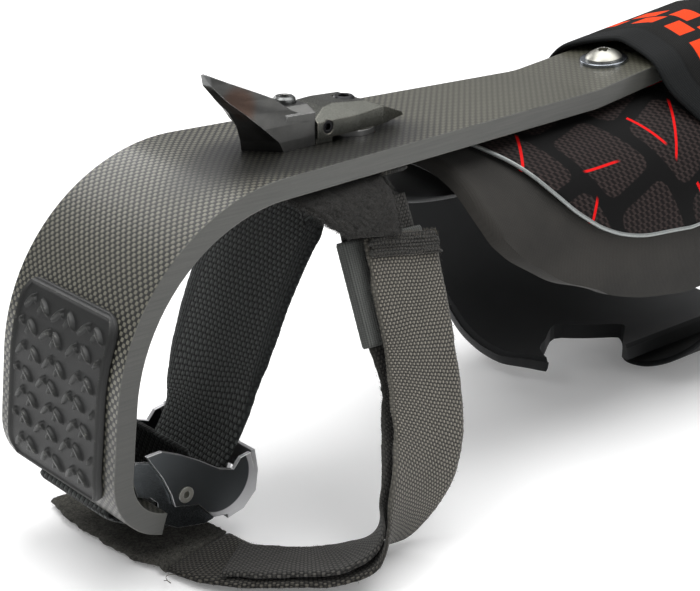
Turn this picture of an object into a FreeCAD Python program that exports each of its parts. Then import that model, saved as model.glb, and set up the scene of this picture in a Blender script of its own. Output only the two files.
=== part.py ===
import FreeCAD, Part
import os, math
from FreeCAD import Vector as V

# Left/right tree-climbing spur: one band of carbon laminate bent into a
# stirrup and a shank, with a bolted gaff, a padded calf cuff and two straps.
# Millimetres. While building, X runs along the straight shank from foot to
# knee, Z points away from the leg (gaff side) with Z = 0 on the outer face of
# the shank, and Y runs along the foot. Everything is shifted at the end so
# that the origin is the middle of the underside of the whole part.

# ---------------------------------------------------------------- dimensions
BAND_T = 8.0            # laminate thickness
R_ARCH = 76.0           # outer radius of the bend from shank to footplate
A_ARCH = 84.0           # its turn, degrees
FOOT_FLAT = 26.0        # straight length of the footplate
R_LIP = 24.0            # outer radius of the bend from footplate to lip
A_LIP = 77.0            # its turn, degrees
LIP_FLAT = 3.0          # straight length of the lip
SHANK_FLAT = 172.0      # straight shank up to the kink
KINK = 7.0              # outward lean of the upper shank, degrees
R_KINK = 60.0           # outer radius of the kink
SHANK_UP = 112.0        # length above the kink
HALF_FOOT = 37.0        # half widths of the band
HALF_GAFF = 23.6
HALF_TOP = 20.5
TREAD_T = 3.2           # rubber tread under the stirrup
FLOOR = -140.0          # level of the underside of the part
BOLT_X = (207.0, 247.0) # cuff bolts
SPARE_X = (227.0, 267.0)
BOLT_D = 8.0
ROLLER = (-30.5, -124.2)   # buckle roller axis, X and Z
ROLLER_R = 2.6
RIVET = (-42.6, -113.3)    # buckle lever axis, X and Z
RIVET_R = 2.2
STRAP_T = 2.2
FOOT_STRAP_W = 45.0
ANKLE_W = 38.0
CUFF_N = 2.5            # squareness of the cuff's section
CUFF_BOT = -137.0       # outside of the cuff at its lowest
SHELL_T = 2.2
LINER_T = 7.0
CALF_STRAP_X = (197.0, 286.0)
CALF_STRAP_T = 2.4

os.makedirs("parts", exist_ok=True)
shapes = {}


def rad(a):
    return math.radians(a)


def put(name, shape):
    s = shape
    if s.ShapeType == "Compound" and len(s.Solids) == 1:
        s = s.Solids[0]
    shapes[name] = s
    return s


# ---------------------------------------------------------------- band path
def band_path(off):
    """Stations of the band at depth `off` under its outer face, as XZ points
    with arcs: from the lip's end round to the top of the shank."""
    a1 = rad(A_ARCH)
    c1 = (0.0, -R_ARCH)
    r1 = R_ARCH - off

    def arch(h):
        return (c1[0] - r1 * math.sin(h), c1[1] + r1 * math.cos(h))
    # end of arch, heading a1
    d1 = (-math.cos(a1), -math.sin(a1))
    n1 = (-math.sin(a1), math.cos(a1))
    e1 = arch(a1)
    f1 = (e1[0] + d1[0] * FOOT_FLAT, e1[1] + d1[1] * FOOT_FLAT)
    c2 = (f1[0] - n1[0] * (R_LIP - off), f1[1] - n1[1] * (R_LIP - off))
    r2 = R_LIP - off
    h2 = a1 + rad(A_LIP)

    def lip(h):
        return (c2[0] - r2 * math.sin(h), c2[1] + r2 * math.cos(h))
    e2 = lip(h2)
    d2 = (-math.cos(h2), -math.sin(h2))
    g2 = (e2[0] + d2[0] * LIP_FLAT, e2[1] + d2[1] * LIP_FLAT)
    # kink: bends towards +Z, outer face is on the inside of this bend
    k = rad(KINK)
    ck = (SHANK_FLAT, R_KINK)
    rk = R_KINK + off

    def kink(h):
        return (ck[0] + rk * math.sin(h), ck[1] - rk * math.cos(h))
    ek = kink(k)
    tip = (ek[0] + SHANK_UP * math.cos(k), ek[1] + SHANK_UP * math.sin(k))
    return dict(tip=tip, ek=ek, km=kink(k / 2), k0=(SHANK_FLAT, -off),
                s0=(0.0, -off), am=arch(a1 / 2), e1=e1, f1=f1,
                lm=lip((a1 + h2) / 2), e2=e2, g2=g2, arch=arch, lip=lip,
                h1=a1, h2=h2, c2=c2)


def P(p, y=0.0):
    return V(p[0], y, p[1])


def band_edges(off, y, rev=False):
    b = band_path(off)
    e = [Part.LineSegment(P(b["g2"], y), P(b["e2"], y)),
         Part.Arc(P(b["e2"], y), P(b["lm"], y), P(b["f1"], y)),
         Part.LineSegment(P(b["f1"], y), P(b["e1"], y)),
         Part.Arc(P(b["e1"], y), P(b["am"], y), P(b["s0"], y)),
         Part.LineSegment(P(b["s0"], y), P(b["k0"], y)),
         Part.Arc(P(b["k0"], y), P(b["km"], y), P(b["ek"], y)),
         Part.LineSegment(P(b["ek"], y), P(b["tip"], y))]
    return [x.toShape() for x in e], P(b["g2"], y), P(b["tip"], y)


def slab(off_a, off_b, half):
    ea, a0, a1 = band_edges(off_a, -half)
    eb, b0, b1 = band_edges(off_b, -half)
    w = Part.Wire(Part.__sortEdges__(ea + eb + [Part.LineSegment(a0, b0).toShape(),
                                                Part.LineSegment(a1, b1).toShape()]))
    return Part.Face(w).extrude(V(0, 2 * half, 0))


def xz_prism(pts, y0, y1):
    w = Part.makePolygon([V(p[0], y0, p[1]) for p in pts] + [V(pts[0][0], y0, pts[0][1])])
    return Part.Face(w).extrude(V(0, y1 - y0, 0))


def ycyl(x, z, r, y0, y1):
    return Part.makeCylinder(r, y1 - y0, V(x, y0, z), V(0, 1, 0))


bp = band_path(0.0)
TOPX = bp["tip"][0]
plan = [V(-100, -HALF_FOOT, -200), V(0, -HALF_FOOT, -200), V(SHANK_FLAT, -HALF_GAFF, -200),
        V(TOPX - 12, -HALF_TOP, -200), V(TOPX - 3, -HALF_TOP + 4, -200), V(TOPX + 2, -HALF_TOP + 12, -200),
        V(TOPX + 2, HALF_TOP - 12, -200), V(TOPX - 3, HALF_TOP - 4, -200), V(TOPX - 12, HALF_TOP, -200),
        V(SHANK_FLAT, HALF_GAFF, -200), V(0, HALF_FOOT, -200), V(-100, HALF_FOOT, -200)]
plan_solid = Part.Face(Part.makePolygon(plan + [plan[0]])).extrude(V(0, 0, 300))
shank = slab(0.0, BAND_T, 60).common(plan_solid)

def shank_z(x):
    """Height of the shank's outer face."""
    if x <= SHANK_FLAT:
        return 0.0
    k = rad(KINK)
    xe = SHANK_FLAT + R_KINK * math.sin(k)
    if x < xe:
        return R_KINK - math.sqrt(R_KINK ** 2 - (x - SHANK_FLAT) ** 2)
    return R_KINK * (1 - math.cos(k)) + (x - xe) * math.tan(k)


UPN = V(-math.sin(rad(KINK)), 0, math.cos(rad(KINK)))   # normal of the upper shank
UPD = V(math.cos(rad(KINK)), 0, math.sin(rad(KINK)))


def on_top(x, h=0.0, y=0.0):
    return V(x, y, shank_z(x)) + UPN * h


for x in BOLT_X + SPARE_X:
    shank = shank.cut(Part.makeCylinder((BOLT_D + 0.4) / 2, 40, on_top(x, -20), UPN))
# gaff bolt holes through the shank
GAFF_BOLT_X = (27.0, 56.0)
for x in GAFF_BOLT_X:
    shank = shank.cut(Part.makeCylinder(3.1, 30, V(x, 0, -15), V(0, 0, 1)))
# slot in the lip for the buckle's webbing
b8 = band_path(BAND_T)
h_slot = rad(138)
n_slot = (-math.sin(h_slot), math.cos(h_slot))
cs = b8["c2"]
slot_mid = V(cs[0] + 20 * n_slot[0], 0, cs[1] + 20 * n_slot[1])
slot = Part.makeBox(40, FOOT_STRAP_W + 3, 5.6, V(-20, -(FOOT_STRAP_W + 3) / 2, -2.8))
slot.rotate(V(0, 0, 0), V(0, 1, 0), -math.degrees(math.atan2(n_slot[1], n_slot[0])))
slot.translate(slot_mid)
shank = shank.cut(slot)
put("shank", shank)

# ---------------------------------------------------------------- tread
def arc_slab(off_a, off_b, h_a, h_b, half):
    """Piece of the band's shell between headings h_a and h_b (degrees)."""
    pa, pb = band_path(off_a), band_path(off_b)
    ha, hb = rad(h_a), rad(h_b)
    e = []
    for b in (pa, pb):
        s = b["arch"](ha)
        m = b["arch"]((ha + b["h1"]) / 2)
        l = b["lip"](hb)
        lm = b["lip"]((hb + b["h1"]) / 2)
        e.append([Part.Arc(P(s, -half), P(m, -half), P(b["e1"], -half)).toShape(),
                  Part.LineSegment(P(b["e1"], -half), P(b["f1"], -half)).toShape(),
                  Part.Arc(P(b["f1"], -half), P(lm, -half), P(l, -half)).toShape(),
                  P(s, -half), P(l, -half)])
    w = Part.Wire(Part.__sortEdges__(e[0][:3] + e[1][:3] +
                  [Part.LineSegment(e[0][3], e[1][3]).toShape(), Part.LineSegment(e[0][4], e[1][4]).toShape()]))
    return Part.Face(w).extrude(V(0, 2 * half, 0))


TREAD_HALF = 30.0
TREAD_H = (59.0, 114.0)
tread = arc_slab(-TREAD_T, 0.0, TREAD_H[0], TREAD_H[1], TREAD_HALF)
outline = Part.makeBox(60, 2 * TREAD_HALF, 70.5, V(-110, -TREAD_HALF, -106.5))
outline = outline.makeFillet(8.0, [e for e in outline.Edges if e.Length > 59.9 and abs(e.tangentAt(0).x) > 0.9])
put("tread_pad", tread.common(outline))

# ---------------------------------------------------------------- gaff
# sections of the spike, from its foot on the shank to its tip
GAFF_SECT = [
    [0.05, (6.5, 0.0), (12.2, -6.4), (17.0, -12.0), (31.9, -12.0), (31.9, 12.0), (17.0, 12.0), (12.2, 6.4)],
    [4.0, (6.0, 0.0), (11.0, -6.2), (15.0, -11.8), (31.9, -12.0), (31.9, 12.0), (15.0, 11.8), (11.0, 6.2)],
    [9.5, (4.4, 0.0), (7.2, -5.4), (9.2, -10.2), (31.9, -12.0), (31.9, 12.0), (9.2, 10.2), (7.2, 5.4)],
    [15.0, (1.0, 0.0), (2.6, -4.0), (3.6, -7.2), (21.5, -9.8), (21.5, 9.8), (3.6, 7.2), (2.6, 4.0)],
    [20.0, (-4.1, 0.0), (-2.9, -2.7), (-2.2, -4.6), (14.6, -8.8), (14.6, 8.8), (-2.2, 4.6), (-2.9, 2.7)],
    [23.0, (-6.8, 0.0), (-5.7, -1.9), (-4.9, -3.2), (8.0, -7.0), (8.0, 7.0), (-4.9, 3.2), (-5.7, 1.9)],
    [27.0, (-10.3, 0.0), (-9.4, -1.1), (-8.2, -1.8), (-1.2, -4.0), (-1.2, 4.0), (-8.2, 1.8), (-9.4, 1.1)],
    [30.7, (-10.9, 0.0), (-10.7, -0.45), (-10.4, -0.7), (-9.2, -0.9), (-9.2, 0.9), (-10.4, 0.7), (-10.7, 0.45)],
]
gaff = None
for a, b in zip(GAFF_SECT[:-1], GAFF_SECT[1:]):
    wires = []
    for s in (a, b):
        pts = [V(p[0], p[1], s[0]) for p in s[1:]]
        wires.append(Part.makePolygon(pts + [pts[0]]))
    seg = Part.makeLoft(wires, True, True)
    gaff = seg if gaff is None else gaff.fuse(seg)
ends = []
for x, h in ((19.5, 10.6), (31.9, 12.0)):
    pts = [V(x, y, z) for y, z in ((-h, 0.05), (h, 0.05), (h, 12.6), (h - 4.6, 15.0), (4.6 - h, 15.0), (-h, 12.6))]
    ends.append(Part.makePolygon(pts + pts[:1]))
body = Part.makeLoft(ends, True, True)
gaff = gaff.fuse(body).removeSplitter()
gaff = gaff.cut(Part.makeCylinder(3.05, 40, V(GAFF_BOLT_X[0], 0, -5), V(0, 0, 1)))
gaff = gaff.cut(Part.makeCylinder(4.45, 30, V(GAFF_BOLT_X[0], 0, 14.2), V(0, 0, 1)))
put("gaff", gaff)

def screw(x, z_seat, head_r, head_h, shaft_r, z_low, socket_r, socket_d):
    s = Part.makeCylinder(head_r, head_h, V(x, 0, z_seat), V(0, 0, 1))
    s = s.makeChamfer(min(0.8, head_h / 2.5), [e for e in s.Edges if abs(e.CenterOfMass.z - (z_seat + head_h)) < 0.01])
    s = s.fuse(Part.makeCylinder(shaft_r, z_seat - z_low + 0.5, V(x, 0, z_low), V(0, 0, 1)))
    hexa = Part.Face(Part.makePolygon([V(x + socket_r * math.cos(rad(60 * i)), socket_r * math.sin(rad(60 * i)),
                                         z_seat + head_h - socket_d) for i in range(7)])).extrude(V(0, 0, socket_d + 1))
    return s.cut(hexa).removeSplitter()


PLATE_Z = -12.75        # top of the backing plate, under the straps
put("gaff_screw", screw(GAFF_BOLT_X[0], 14.25, 4.2, 3.0, 3.0, -14.2, 2.0, 1.6))

# ---------------------------------------------------------------- clamp
cl = [(32.3, 2.3), (32.3, 9.6), (39.5, 12.4), (45.0, 13.0), (60.0, 11.9), (66.5, 9.2), (78.5, 4.4), (79.5, 3.0),
      (64.0, 2.3)]
clamp = xz_prism(cl, -13.0, 13.0)
taper = Part.Face(Part.makePolygon([V(30, -13.2, -5), V(50, -13.2, -5), V(66, -12.0, -5), V(80.5, -8.0, -5),
                                    V(80.5, 8.0, -5), V(66, 12.0, -5), V(50, 13.2, -5), V(30, 13.2, -5),
                                    V(30, -13.2, -5)])).extrude(V(0, 0, 40))
clamp = clamp.common(taper)
foot_block = Part.makeBox(7.9, 24.0, 2.4, V(32.3, -12.0, 0.05))
clamp = clamp.fuse(foot_block).removeSplitter()
cut_l = Part.Face(Part.makePolygon([V(30, -14, 7.7), V(30, -14, 17.5), V(30, -0.6, 17.5), V(30, -14, 7.7)])).extrude(V(60, 0, 0))
cut_r = Part.Face(Part.makePolygon([V(30, 14, 7.7), V(30, 14, 17.5), V(30, 0.6, 17.5), V(30, 14, 7.7)])).extrude(V(60, 0, 0))
clamp = clamp.cut(cut_l).cut(cut_r)
clamp = clamp.cut(Part.makeCylinder(3.05, 30, V(GAFF_BOLT_X[1], 0, -5), V(0, 0, 1)))
clamp = clamp.cut(Part.makeCylinder(4.6, 10, V(GAFF_BOLT_X[1], 0, 9.3), V(0, 0, 1)))
clamp = clamp.cut(Part.makeCylinder(2.55, 9.0, V(37.4, -14, 6.2), V(0, 1, 0)))
put("gaff_clamp", clamp)
put("clamp_screw", screw(GAFF_BOLT_X[1], 9.35, 4.4, 3.5, 3.0, PLATE_Z - 6.5, 2.4, 2.0))
gs = Part.makeCylinder(2.5, 7.6, V(37.4, -12.7, 6.2), V(0, 1, 0))
gs = gs.cut(Part.Face(Part.makePolygon([V(37.4 + 1.5 * math.cos(rad(60 * i)), -12.8, 6.2 + 1.5 * math.sin(rad(60 * i)))
                                        for i in range(7)])).extrude(V(0, 2.2, 0)))
put("side_lock_screw", gs)
sp = Part.makeCylinder(11.0, 2.15, V(55.5, -2.6, 0.05), V(0, 0, 1))
sp = sp.cut(Part.makeCylinder(3.1, 10, V(GAFF_BOLT_X[1], 0, -5), V(0, 0, 1)))
sp = sp.cut(Part.makeBox(20, 40, 10, V(24.0, -20, -1)))
put("clamp_spacer", sp)

# ---------------------------------------------------------------- ribbons
def ribbon(stations, thick, skew=False):
    """stations: (centre, width direction, half width). Straight-sided band;
    with skew its end lines keep the direction given."""
    cs = [V(*s[0]) for s in stations]
    wires = []
    n = len(cs)
    for i, s in enumerate(stations):
        if i == 0:
            t = cs[1] - cs[0]
        elif i == n - 1:
            t = cs[-1] - cs[-2]
        else:
            t = (cs[i + 1] - cs[i]).normalize() + (cs[i] - cs[i - 1]).normalize()
        t.normalize()
        w = V(*s[1])
        if not skew:
            w = w - t * w.dot(t)
        w.normalize()
        nn = t.cross(w)
        nn.normalize()
        h = s[2]
        q = [cs[i] + w * h + nn * thick / 2, cs[i] - w * h + nn * thick / 2,
             cs[i] - w * h - nn * thick / 2, cs[i] + w * h - nn * thick / 2]
        wires.append(Part.makePolygon(q + [q[0]]))
    return Part.makeLoft(wires, True, True)


# instep strap: from under the plate, down across the instep, round the roller
HW = FOOT_STRAP_W / 2
rr = ROLLER_R + 0.45 + STRAP_T / 2


def roller_pt(a):
    return (ROLLER[0] + rr * math.cos(rad(a)), ROLLER[1] + rr * math.sin(rad(a)))


def fs_st(x, z, y=0.0, h=None):
    return ((x, y, z), (0, 1, 0), HW if h is None else h)


ZS = -8.1 - STRAP_T / 2
fs = [fs_st(70.0, ZS), fs_st(42.0, ZS), fs_st(38.5, -10.9), fs_st(35.6, -14.5), fs_st(31.5, -20.0, 5, 28), fs_st(25.0, -29.0, 6, 30),
      fs_st(12.0, -50.0, 6, 30), fs_st(-3.0, -80.0, 4, 28), fs_st(-11.0, -96.0, 0.6, 24.2), fs_st(-16.0, -106.0), fs_st(-22.5, -116.0)]
fs += [fs_st(*roller_pt(a)) for a in (18, -25, -70, -115, -160, -195)]
fs += [fs_st(-34.2, -116.5), fs_st(-35.0, -108.0), fs_st(-37.0, -100.0)]
foot_strap = ribbon(fs, STRAP_T)
foot_strap = foot_strap.cut(Part.makeCylinder(3.2, 20, V(GAFF_BOLT_X[1], 0, -20), V(0, 0, 1)))
put("foot_strap", foot_strap)

# ankle strap: loop-faced ear held under the same plate, then the webbing that
# hangs down beside the stirrup, runs along the ground and under the lip
zt = -8.1 - STRAP_T - 0.12 - STRAP_T / 2
ear = [((35, -24.8, zt), (1, 0, 0), 29), ((32, -31, zt), (1, 0, 0), 31), ((33.0, -36.0, zt - 2.8), (1, 0, -.03), 29.5), ((34.5, -39.6, zt - 9.0), (1, 0, -.08), 27), ((38, -41.8, zt - 17.0), (1, 0, -.15), 20)]
earr = ribbon(ear, STRAP_T, True)
root = Part.makeBox(22, 37.6, STRAP_T, V(44, -25.6, zt - STRAP_T / 2))
earr = earr.fuse(root).removeSplitter()
earr = earr.cut(Part.makeCylinder(3.2, 20, V(GAFF_BOLT_X[1], 0, -25), V(0, 0, 1)))
put("ankle_loop_ear", earr)
outer = [((51.5, -37.8, -32.6), (.97, 0, -.24), 19), ((50.0, -42.4, -42), (.975, 0, -.22), 19), ((47.9, -48.8, -54.8), (.98, 0, -.2), 19),
         ((45.4, -57, -71.5), (.97, 0, -.24), 19), ((40.4, -66, -86.5), (.97, .03, -.22), 19), ((33.0, -74.5, -99.5), (.96, .1, -.2), 19),
         ((23.2, -80.0, -113), (.95, .22, -.2), 19), ((13.6, -80.4, -126.0), (.9, .36, -.2), 18.5), ((4, -77.5, -133.2), (.80, .58, -.14), 18),
         ((-8.2, -72.6, -136.0), (.72, .69, -.1), 16.5), ((-21.9, -62.5, -136.4), (.66, .75, -.1), 15.5), ((-34.4, -45.2, -137.8), (.8, .6, -.04), 16),
         ((-37.5, -28.5, -138.75), (.9, .42, 0), 17)]
put("ankle_strap_outer", ribbon(outer, STRAP_T))


def inward(sts, i, gap):
    """Centre of the layer that lies `gap` inside station i of a ribbon."""
    a, b, c = V(*sts[i - 1][0]), V(*sts[i][0]), V(*sts[i + 1][0])
    t = ((c - b).normalize() + (b - a).normalize()).normalize()
    w = V(*sts[i][1])
    w = (w - t * w.dot(t)).normalize()
    n = t.cross(w)
    n = n if n.z < 0 and i < 9 and n.y > 0 or i >= 9 and n.z > 0 or n.y > 0 else n * -1
    q = b + n * gap
    return (q.x, q.y, q.z)


KEEP_P = V(46.5, -30.5, -30.0)
KEEP_D = V(-2.0, -25.0, -52.0)
KEEP_D.normalize()
KEEP_W = V(.975, 0, -.15)


def along(s):
    q = KEEP_P + KEEP_D * s
    return (q.x, q.y, q.z)


inner = [((46.9, -26.0, -20.5), tuple(KEEP_W), 19), (along(0), tuple(KEEP_W), 19), (along(32), tuple(KEEP_W), 19), (along(64), tuple(KEEP_W), 19)]
for i in (6, 7, 8, 9, 10, 11):
    g = {6: 5.0, 7: 5.2, 8: 4.6, 9: 3.6, 10: 3.2}.get(i, 2.9)
    q = V(*inward(outer, i, g)) - V(*outer[i][1]) * (0 if i < 9 else 1.5)
    inner.append(((q.x, q.y, q.z), outer[i][1], outer[i][2] - (0.5 if i < 9 else 3.0)))
print("inner", [[round(c, 1) for c in q[0]] for q in inner])
put("ankle_strap_inner", ribbon(inner, STRAP_T))
# elastic keeper, a flat sleeve round the inner webbing
kw = KEEP_W - KEEP_D * KEEP_W.dot(KEEP_D)
kw.normalize()
kn = KEEP_D.cross(kw)


def sleeve(hw, ht, s0, s1):
    wires = []
    for s in (s0, s1):
        c = KEEP_P + KEEP_D * s
        q = [c + kw * hw + kn * ht, c - kw * hw + kn * ht, c - kw * hw - kn * ht, c + kw * hw - kn * ht]
        wires.append(Part.makePolygon(q + [q[0]]))
    return Part.makeLoft(wires, True, True)


KEEPER = (3.0, 43.0)
keeper = sleeve(ANKLE_W / 2 + 0.35 + 1.3, STRAP_T / 2 + 0.35 + 1.3, *KEEPER).cut(
    sleeve(ANKLE_W / 2 + 0.35, STRAP_T / 2 + 0.35, KEEPER[0] - 1, KEEPER[1] + 1))
put("elastic_keeper", keeper)
# hook-faced tail, sewn on the end of the webbing and lying beyond the lip
tail = [((-37.9, -27.5, -138.7), (.97, .24, 0), 17.5), ((-41.5, -10, -138.7), (.98, .17, 0), 18), ((-43, 12, -138.7), (1, .05, 0), 17.5),
        ((-42.5, 40, -138.7), (1, 0, 0), 17)]
put("hook_tail", ribbon(tail, 2.4, True))

# ---------------------------------------------------------------- plate under the straps
plate = Part.makeBox(28, 30, 2.5, V(43, -15, PLATE_Z - 2.5))
plate = plate.makeFillet(4, [e for e in plate.Edges if abs(e.tangentAt(0).z) > 0.9])
plate = plate.cut(Part.makeCylinder(3.1, 20, V(GAFF_BOLT_X[1], 0, -30), V(0, 0, 1)))
put("strap_plate", plate)
nuts = []
for x, z1 in ((GAFF_BOLT_X[0], -8.05), (GAFF_BOLT_X[1], PLATE_Z - 2.5)):
    h = Part.Face(Part.makePolygon([V(x + 5.8 * math.cos(rad(60 * i)), 5.8 * math.sin(rad(60 * i)), z1 - 5.0) for i in range(7)])).extrude(V(0, 0, 5.0))
    nuts.append(h.cut(Part.makeCylinder(3.02, 20, V(x, 0, z1 - 10), V(0, 0, 1))))
put("gaff_nuts", Part.makeCompound(nuts))

# ---------------------------------------------------------------- buckle
FY0, FY1 = 24.6, 26.2         # frame cheeks
cheek_pts = [(-64.5, -98.5), (-62.0, -95.6), (-52.0, -98.6), (-47.5, -101.5), (-45.5, -105.0), (-47.5, -108.5),
             (-39.0, -119.0), (-33.0, -119.6), (-27.8, -121.6), (-26.6, -125.4), (-29.0, -128.6), (-33.0, -129.4),
             (-45.0, -127.0), (-53.6, -122.0), (-53.4, -114.0), (-56.4, -111.0), (-61.8, -109.0)]
# the cheek carries the rivet, so it has a lobe round it
frame = None
for s in (-1, 1):
    y0, y1 = (FY0, FY1) if s > 0 else (-FY1, -FY0)
    c = xz_prism(cheek_pts, y0, y1).fuse(ycyl(RIVET[0], RIVET[1], 6.0, y0, y1))
    c = c.cut(ycyl(RIVET[0], RIVET[1], RIVET_R + 0.05, y0 - 1, y1 + 1))
    c = c.cut(ycyl(ROLLER[0], ROLLER[1], 1.25, y0 - 1, y1 + 1))
    frame = c if frame is None else frame.fuse(c)
BAR = (-44.0, -123.6)
frame = frame.fuse(ycyl(BAR[0], BAR[1], 2.0, -FY0, FY0))          # webbing bar
# back plate between the cheeks
back = xz_prism([(-61.5, -97.0), (-60.2, -96.6), (-60.8, -104.4), (-62.1, -104.8)], -FY0, FY0)
frame = frame.fuse(back).removeSplitter()
put("buckle_frame", frame)
put("roller_pin", ycyl(ROLLER[0], ROLLER[1], 1.2, -FY1 - 0.2, FY1 + 0.2))
put("buckle_roller", ycyl(ROLLER[0], ROLLER[1], ROLLER_R, -FY0 + 0.4, FY0 - 0.4).cut(
    ycyl(ROLLER[0], ROLLER[1], 1.28, -FY0, FY0)))
# rivets: one each side, tubular
LY0, LY1 = 26.5, 28.1         # lever cheeks
riv = []
for s in (-1, 1):
    y0, y1 = (FY0 - 0.9, LY1 + 0.1) if s > 0 else (-(LY1 + 0.1), -(FY0 - 0.9))
    r = ycyl(RIVET[0], RIVET[1], RIVET_R, y0, y1)
    fl = (y1, y1 + 0.7) if s > 0 else (y0 - 0.7, y0)
    r = r.fuse(ycyl(RIVET[0], RIVET[1], 3.1, *fl))
    fi = (y0 - 0.6, y0) if s > 0 else (y1, y1 + 0.6)
    r = r.fuse(ycyl(RIVET[0], RIVET[1], 3.1, *fi))
    r = r.cut(ycyl(RIVET[0], RIVET[1], 1.4, y0 - 3, y1 + 3))
    riv.append(r.removeSplitter())
put("buckle_rivets", Part.makeCompound(riv))
# lever: two cheeks joined by a curved outer web
lev_pts = [(-58.5, -93.6), (-52.0, -93.4), (-44.0, -97.2), (-36.0, -102.0), (-27.0, -108.2), (-20.5, -110.5), (-17.2, -106.8), (-12.6, -106.0),
           (-11.0, -114.0), (-12.0, -121.5), (-17.0, -126.2), (-24.0, -127.8), (-30.0, -127.0), (-36.5, -119.6),
           (-47.0, -117.0), (-48.6, -111.5), (-52.0, -104.0)]
lever = None
for s in (-1, 1):
    y0, y1 = (LY0, LY1) if s > 0 else (-LY1, -LY0)
    c = xz_prism(lev_pts, y0, y1)
    c = c.cut(ycyl(RIVET[0], RIVET[1], RIVET_R + 0.05, y0 - 1, y1 + 1))
    lever = c if lever is None else lever.fuse(c)
web = [(-12.4, -105.2), (-10.6, -105.4), (-9.2, -114.0), (-10.4, -122.4), (-16.2, -128.0), (-23.6, -129.6),
       (-23.9, -127.8), (-17.0, -126.2), (-12.0, -121.5), (-11.0, -114.0)]
webs = xz_prism(web, -LY1, LY1)
slotw = Part.makeBox(30, 10, 5, V(-22, -22, -121.5))
lever = lever.fuse(webs.cut(slotw)).removeSplitter()
put("buckle_lever", lever)

# short webbing from the frame's bar back through the slot in the lip
sl_in = (cs[0] + 16.0 * n_slot[0], cs[1] + 16.0 * n_slot[1])
sl_out = (cs[0] + 24.0 * n_slot[0], cs[1] + 24.0 * n_slot[1])
t2 = STRAP_T / 2


def lip_off(r, hdeg):
    return (cs[0] - r * math.sin(rad(hdeg)), cs[1] + r * math.cos(rad(hdeg)))


def bar_pt(a, r=2.0 + 0.5 + 1.1):
    return (BAR[0] + r * math.cos(rad(a)), BAR[1] + r * math.sin(rad(a)))


loop = [lip_off(20.0, 139.5), lip_off(14.6, 143), lip_off(14.5, 152), lip_off(14.5, 162), (-55.6, -110.9), (-52.8, -114.2), (-49.6, -118.0),
        bar_pt(80), bar_pt(35), bar_pt(-10), bar_pt(-55), bar_pt(-100), (-53.0, -126.6), (-58.6, -123.6),
        lip_off(25.5, 160), lip_off(25.4, 151), lip_off(25.4, 142), lip_off(25.2, 135), lip_off(21.0, 136)]
# split at the slot so that the two ends do not run into each other
anchor = ribbon([((p[0], 0, p[1]), (0, 1, 0), HW) for p in loop], STRAP_T)
put("buckle_anchor_webbing", anchor)

# ---------------------------------------------------------------- cuff
def cuff_sec(x):
    t = -10.4 + shank_z(x)
    a = 58.0 + (x - 80.0) * 0.025 if x < 200 else 61.0 + (x - 200) * 0.01
    return a, (t - CUFF_BOT) / 2, (t + CUFF_BOT) / 2


def cuff_pt(th, x, off):
    a, b, zc = cuff_sec(x)
    a -= off
    b -= off
    c, s = math.cos(rad(th)), math.sin(rad(th))
    return V(x, a * math.copysign(abs(s) ** (2 / CUFF_N), s), zc + b * math.copysign(abs(c) ** (2 / CUFF_N), c))


def interp(tab, v):
    if v <= tab[0][0]:
        return tab[0][1]
    for (a, fa), (b, fb) in zip(tab[:-1], tab[1:]):
        if v <= b:
            return fa + (fb - fa) * (v - a) / (b - a)
    return tab[-1][1]


def resample(tab, n):
    """n values of the key, evenly spread over the table's index."""
    ks = [k for k, _ in tab]
    out = []
    for i in range(n):
        f = i / (n - 1) * (len(ks) - 1)
        j = min(int(f), len(ks) - 2)
        out.append(ks[j] + (ks[j + 1] - ks[j]) * (f - j))
    return out


def flap(front, rear, off_a, off_b, rows, cols):
    """Curved panel between depths off_a and off_b; its front and rear limits
    in X are given round the section by angle from the top."""
    ths = resample(front, rows)
    faces = []
    for off in (off_a, off_b):
        grid = []
        for th in ths:
            xf, xr = interp(front, th), interp(rear, th)
            grid.append([cuff_pt(th, xf + (xr - xf) * j / (cols - 1), off) for j in range(cols)])
        sf = Part.BSplineSurface()
        sf.interpolate(grid)
        faces.append(sf)
    fa, fb = faces
    ua, ub, va, vb = fa.bounds()
    sides = []
    for k, (pa, pb) in enumerate((("u", ua), ("u", ub), ("v", va), ("v", vb))):
        ca = fa.uIso(pb) if pa == "u" else fa.vIso(pb)
        u2 = fb.bounds()
        q = (u2[0], u2[1], u2[2], u2[3])[k]
        cb = fb.uIso(q) if pa == "u" else fb.vIso(q)
        ea, eb = ca.toShape(), cb.toShape()
        f = Part.makeRuledSurface(ea, eb)
        want = (ea.Length + eb.Length) / 2 * abs(off_b - off_a)
        if f.Area > 1.6 * want:
            cb.reverse()
            f = Part.makeRuledSurface(ea, cb.toShape())
            print("  turned a side", k, round(f.Area), round(want))
        sides.append(f)
    fl = [fa.toShape(), fb.toShape()] + [f for sd in sides for f in sd.Faces]
    sh = Part.makeShell(fl)
    sh.sewShape()
    sol = Part.makeSolid(Part.Shell(sh.Faces) if sh.ShapeType != "Shell" else sh)
    if sol.Volume < 0:
        sol.reverse()
    return sol


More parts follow.
